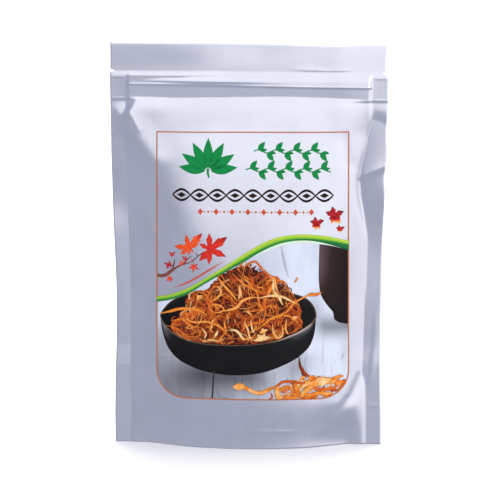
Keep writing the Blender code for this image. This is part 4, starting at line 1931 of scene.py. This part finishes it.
@dataclass
class Band:
    """The green band over the picture, with the maple twig above it."""

    form: PouchForm
    lift: float = 0.44
    glow_end: float = 54.0

    @staticmethod
    def upper_tone(x: Array, z: Array, t: Array) -> Array:
        """The tone of the band's upper half, light towards its top."""
        return 0.64 + 0.36 * ease(t * 1.4) - 0.10 * between(-x, 0.0, 50.0)

    @staticmethod
    def lower_tone(x: Array, z: Array, t: Array) -> Array:
        """The tone of the band's lower half, dark towards its right end."""
        return 0.22 + 0.25 * t - 0.20 * between(x, 15.0, 57.0)

    def build(self) -> None:
        """Print the band, the twig and the leaves."""
        x = np.linspace(LABEL.left + 0.3, LABEL.right_at(121.0) - 0.3, 130)
        curves = (LABEL.band_top, LABEL.band_middle, LABEL.band_bottom)
        top, middle, bottom = (row(x, height_on(curve, x)) for curve in curves)
        green = InkFinish("printed_green", GREENS, 0.0, 0.03, 300.0)
        band = InkLayer(self.form, "print_band", green, self.lift)
        band.patch(middle, top, 4, tone=self.upper_tone)
        band.patch(bottom, middle, 4, tone=self.lower_tone)
        band.build()

        pale = x[(x > 0.0) & (x < self.glow_end)]
        under, over = height_on(LABEL.band_bottom, pale), height_on(LABEL.band_middle, pale)
        thin = 1.5 * ease(pale / 14.0) * ease((self.glow_end - pale) / 18.0) + 0.1
        mist = InkLayer(self.form, "print_band_glow", InkFinish("printed_mist", MIST, 0.0, 0.03), 0.30)
        mist.patch(row(pale, under - thin), row(pale, over), 4, tone=lambda x, z, t: 1.0 - t)
        mist.build()

        bark = InkFinish("printed_bark", BARK, 0.3, 0.3, 800.0)
        twig = InkLayer(self.form, "print_twig", bark, 0.10)
        for strand in TWIG:
            strand.print_on(twig)
        twig.build()

        red = InkFinish("printed_leaf", LEAF_REDS, 0.10, 0.05, 500.0)
        leaves = InkLayer(self.form, "print_leaves", red, 0.16)
        for leaf in LEAVES:
            leaf.print_on(leaves)
        leaves.build()


@dataclass
class Ornaments:
    """Plain ornaments in the label's upper half: a sprig, two leafy garlands, a chain and a dotted rule."""

    form: PouchForm
    green: float = 0.95
    brown: float = 0.2
    orange: float = 0.55
    sprig_at: tuple = (-23.2, 164.0)
    sprig_leaves: tuple = (
        (8, 15.5), (33, 16.5), (61, 17.0), (90, 17.5), (119, 17.0), (147, 16.5), (172, 15.5),
    )  # fmt: skip
    links: int = 9
    dots: int = 15

    @staticmethod
    def blade(root: tuple, angle: float, length: float, width: float) -> Array:
        """The outline of one plain pointed leaf.

        Args:
            root: where it starts.
            angle: the direction that it points in, in degrees.
            length: its length.
            width: its greatest width.

        Returns:
            The points round it, as rows of x and z.
        """
        t = np.concatenate([np.linspace(0.0, 1.0, 12), np.linspace(1.0, 0.0, 12)[1:-1]])
        side = np.concatenate([np.full(12, 1.0), np.full(10, -1.0)])
        half = width / 2.0 * np.sin(math.pi * t**0.85) * side
        along, beside = math.radians(angle), math.radians(angle + 90.0)
        x = root[0] + length * t * math.cos(along) + half * math.cos(beside)
        z = root[1] + length * t * math.sin(along) + half * math.sin(beside)
        return row(x, z)

    @staticmethod
    def lozenge(center: tuple, half_width: float, half_height: float) -> Array:
        """The outline of a lozenge.

        Args:
            center: its centre.
            half_width: half its width.
            half_height: half its height.

        Returns:
            The points round it, as rows of x and z.
        """
        turn = np.arange(12) * math.pi / 6.0
        reach = 1.0 / (np.abs(np.cos(turn)) + np.abs(np.sin(turn)))
        x = center[0] + half_width * reach * np.cos(turn)
        return row(x, center[1] + half_height * reach * np.sin(turn))

    def add_blade(self, layer: InkLayer, root: tuple, angle: float, length: float, width: float) -> None:
        """Print one plain pointed green leaf."""
        outline = self.blade(root, angle, length, width)
        layer.blob(tuple(outline.mean(0)), outline, 4, tone=self.green)

    def sprig(self, layer: InkLayer) -> None:
        """Print the sprig: a fan of leaves on a short stem."""
        for angle, length in self.sprig_leaves:
            self.add_blade(layer, polar(self.sprig_at, angle, 1.6), angle, length, 5.6)
        layer.stroke(((-23.2, 165.6), (-23.3, 163.0), (-22.6, 160.4)), 1.3, (1.0, 0.6), tone=self.green)

    def garland(self, layer: InkLayer, left: float, right: float, z: float, pitch: float) -> None:
        """Print a garland: a waving stem with leaves to each side.

        Args:
            layer: the layer that it goes on.
            left: where it starts.
            right: where it ends.
            z: its height.
            pitch: from one pair of leaves to the next.
        """
        x = np.linspace(left, right, 60)
        wave = z + 0.9 * np.sin((x - left) / pitch * math.pi)
        layer.strands(x[None], wave[None], np.full((1, 60), 0.7), layer.lift, 0.02, tone=self.green)
        for i, root in enumerate(np.arange(left + pitch / 2.0, right - 1.0, pitch)):
            side = 1.0 if i % 2 == 0 else -1.0
            self.add_blade(layer, (root, z + 0.5 * side), 52.0 * side, 6.4, 3.1)
            self.add_blade(layer, (root + 1.0, z + 0.4 * side), 8.0 * side, 4.4, 2.1)

    def chain(self, layer: InkLayer, left: float, right: float, z: float) -> None:
        """Print a chain of two crossing waves with a lozenge in each link.

        Args:
            layer: the layer that it goes on.
            left: where it starts.
            right: where it ends.
            z: its height.
        """
        x = np.linspace(left, right, 120)
        turn = (x - left) / (right - left) * self.links * math.pi
        for side in (1.0, -1.0):
            wave = z + side * 3.1 * np.sin(turn)
            thick = 0.7 + 0.7 * np.abs(np.sin(turn))
            layer.strands(x[None], wave[None], thick[None], layer.lift, 0.02, tone=self.brown)
        pitch = (right - left) / self.links
        for i in range(self.links):
            center = (left + (i + 0.5) * pitch, z)
            layer.blob(center, self.lozenge(center, 2.7, 1.5), tone=self.brown)

    def rule(self, layer: InkLayer, left: float, right: float, z: float) -> None:
        """Print a thin rule of lozenges and dots.

        Args:
            layer: the layer that it goes on.
            left: where it starts.
            right: where it ends.
            z: its height.
        """
        step = (right - left) / (self.dots - 1)
        for i, x in enumerate(np.linspace(left, right, self.dots)):
            size = 1.9 if i % 2 == 0 else 0.9
            layer.blob((x, z), self.lozenge((x, z), 0.8 * size, size), 3, tone=self.orange)
            if i < self.dots - 1:
                layer.stroke(((x + 1.6, z), (x + step - 1.6, z)), 0.45, (1.0, 1.0), tone=self.orange)

    def build(self) -> None:
        """Print the ornaments."""
        finish = InkFinish("printed_ornament", ORNAMENT_INK, 0.0, 0.01, 500.0)
        layer = InkLayer(self.form, "print_ornaments", finish, 0.10)
        self.sprig(layer)
        self.garland(layer, 3.0, 44.0, 175.6, 5.1)
        self.garland(layer, -1.5, 47.5, 165.0, 5.1)
        self.chain(layer, -43.5, 49.0, 150.4)
        self.rule(layer, -27.5, 36.5, 141.0)
        path = [(x, height_on(LABEL.band_top, np.array([x]))[0] + 3.4) for x in np.linspace(-43.5, -13.0, 7)]
        layer.stroke(tuple(path), 1.0, (0.1, 0.1), tone=self.orange)
        layer.build()


# ---- Studio


class Sky(Shader):
    """The studio's soft dome of light, as the world's node tree."""

    def __init__(self) -> None:
        """Start the world."""
        world = bpy.data.worlds.new("studio_dome")
        bpy.context.scene.world = world
        world.use_nodes = True
        self.tree = world.node_tree
        self.tree.nodes.clear()
        self.background = self.tree.nodes.new("ShaderNodeBackground")
        output = self.tree.nodes.new("ShaderNodeOutputWorld")
        self.tree.links.new(self.background.outputs["Background"], output.inputs["Surface"])

    def build(self, low: tuple, high: tuple, backdrop: tuple) -> None:
        """Light the dome.

        Args:
            low: the colour near and under the horizon, on the left.
            high: the colour up on the right.
            backdrop: the plain colour behind the pouch.
        """
        direction = self.node("ShaderNodeTexCoord", {}, {}, "Generated")
        x, y, z = self.parts(direction)
        left = (0.0 - x).step(0.26, 0.75)
        under = (0.0 - z).step(0.27, 0.46)
        behind = y.step(0.25, 0.85)
        level = 0.9 * x * (1.0 - under) + 1.6 * z - 0.9 * left - 0.7 * under - 0.45 * behind
        dome = self.mix(level.step(-0.34, 0.02), low, high)
        seen = self.node("ShaderNodeLightPath", {}, {}, "Is Camera Ray")
        self._feed(self.background.inputs["Color"], self.mix(seen, dome, backdrop))


@dataclass
class Studio:
    """Floor, lights and camera."""

    target: tuple = (0.0008, 0.0, 0.1155)
    distance: float = 2.689
    elevation_deg: float = 13.06
    azimuth_deg: float = 1.77
    roll_deg: float = 0.19
    lens: float = 334.1
    floor_front: float = -1.2
    floor_back: float = 3.2
    floor_half_width: float = 2.4
    dome_low: tuple = (0.44, 0.46, 0.54)
    dome_high: tuple = (1.08, 1.09, 1.12)
    backdrop: tuple = (1.0, 1.0, 1.0)
    lamps: tuple = (
        ("top_softbox", (0.05, 0.42, 1.15), 0.9, 0.9, 15.0),
        ("right_softbox", (0.95, -1.35, 0.85), 1.0, 1.0, 3.5),
    )

    def build_floor(self) -> None:
        """Lay the plain floor."""
        xs = (-self.floor_half_width, self.floor_half_width)
        points = [(x / MM, y / MM, 0.0) for y in (self.floor_front, self.floor_back) for x in xs]
        floor = make_object("floor", np.array(points), [(0, 1, 3, 2)], smooth=False)
        floor.data.materials.append(FloorFinish().build())
        floor.visible_glossy = False

    def build_lamps(self) -> None:
        """Hang the softboxes, each aimed at the pouch."""
        for name, place, width, height, energy in self.lamps:
            light = bpy.data.lights.new(name, "AREA")
            light.shape = "RECTANGLE"
            light.size, light.size_y, light.energy = width, height, energy
            lamp = bpy.data.objects.new(name, light)
            lamp.location = place
            lamp.rotation_euler = (Vector(self.target) - Vector(place)).to_track_quat("-Z", "Y").to_euler()
            bpy.context.scene.collection.objects.link(lamp)

    def build_camera(self) -> None:
        """Set the camera in front of the pouch, a little above it, with a long lens."""
        up, around = math.radians(self.elevation_deg), math.radians(self.azimuth_deg)
        away = Vector((math.sin(around) * math.cos(up), -math.cos(around) * math.cos(up), math.sin(up)))
        data = bpy.data.cameras.new("camera")
        data.lens, data.sensor_width = self.lens, 36.0
        data.clip_start, data.clip_end = 0.05, 50.0
        camera = bpy.data.objects.new("camera", data)
        turn = away.to_track_quat("Z", "Y").to_matrix() @ Matrix.Rotation(math.radians(self.roll_deg), 3, "Z")
        camera.matrix_world = Matrix.Translation(Vector(self.target) + away * self.distance) @ turn.to_4x4()
        bpy.context.scene.collection.objects.link(camera)
        bpy.context.scene.camera = camera

    def build(self) -> None:
        """Build the whole studio."""
        self.build_floor()
        self.build_lamps()
        self.build_camera()
        Sky().build(self.dome_low, self.dome_high, self.backdrop)
        view = bpy.context.scene.view_settings
        view.view_transform, view.look = "Standard", "None"


# ---- Main


def dress_solids() -> None:
    """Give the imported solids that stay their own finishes."""
    plastic = PlasticFinish().build()
    for node in ("zip_ridge_strip", "zip_groove_strip"):
        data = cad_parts[node].data
        data.materials.clear()
        data.materials.append(plastic)
        LOG.info("%s: dressed", node)


def main() -> None:
    """Build the pouch and its studio in order."""
    logging.basicConfig(level=logging.INFO, format="%(name)s: %(message)s")
    form = PouchForm()
    FilmPanel(form, Side.FRONT, "front_panel", "front_film", "printed_foil", FoilFinish("front_foil")).build()
    back = FilmPanel(form, Side.BACK, "back_panel", "back_film", "plain_foil", FoilFinish("back_foil"))
    back.body_columns = 130
    back.build()
    BottomGusset(form, FoilFinish("gusset_foil", roughness=0.34)).build()
    Filling(form).build()
    dress_solids()
    for print_part in (Backdrop(form), Bowl(form), StrandPile(form), Band(form), Ornaments(form)):
        print_part.build()
    Studio().build()


if __name__ == "__main__":
    main()
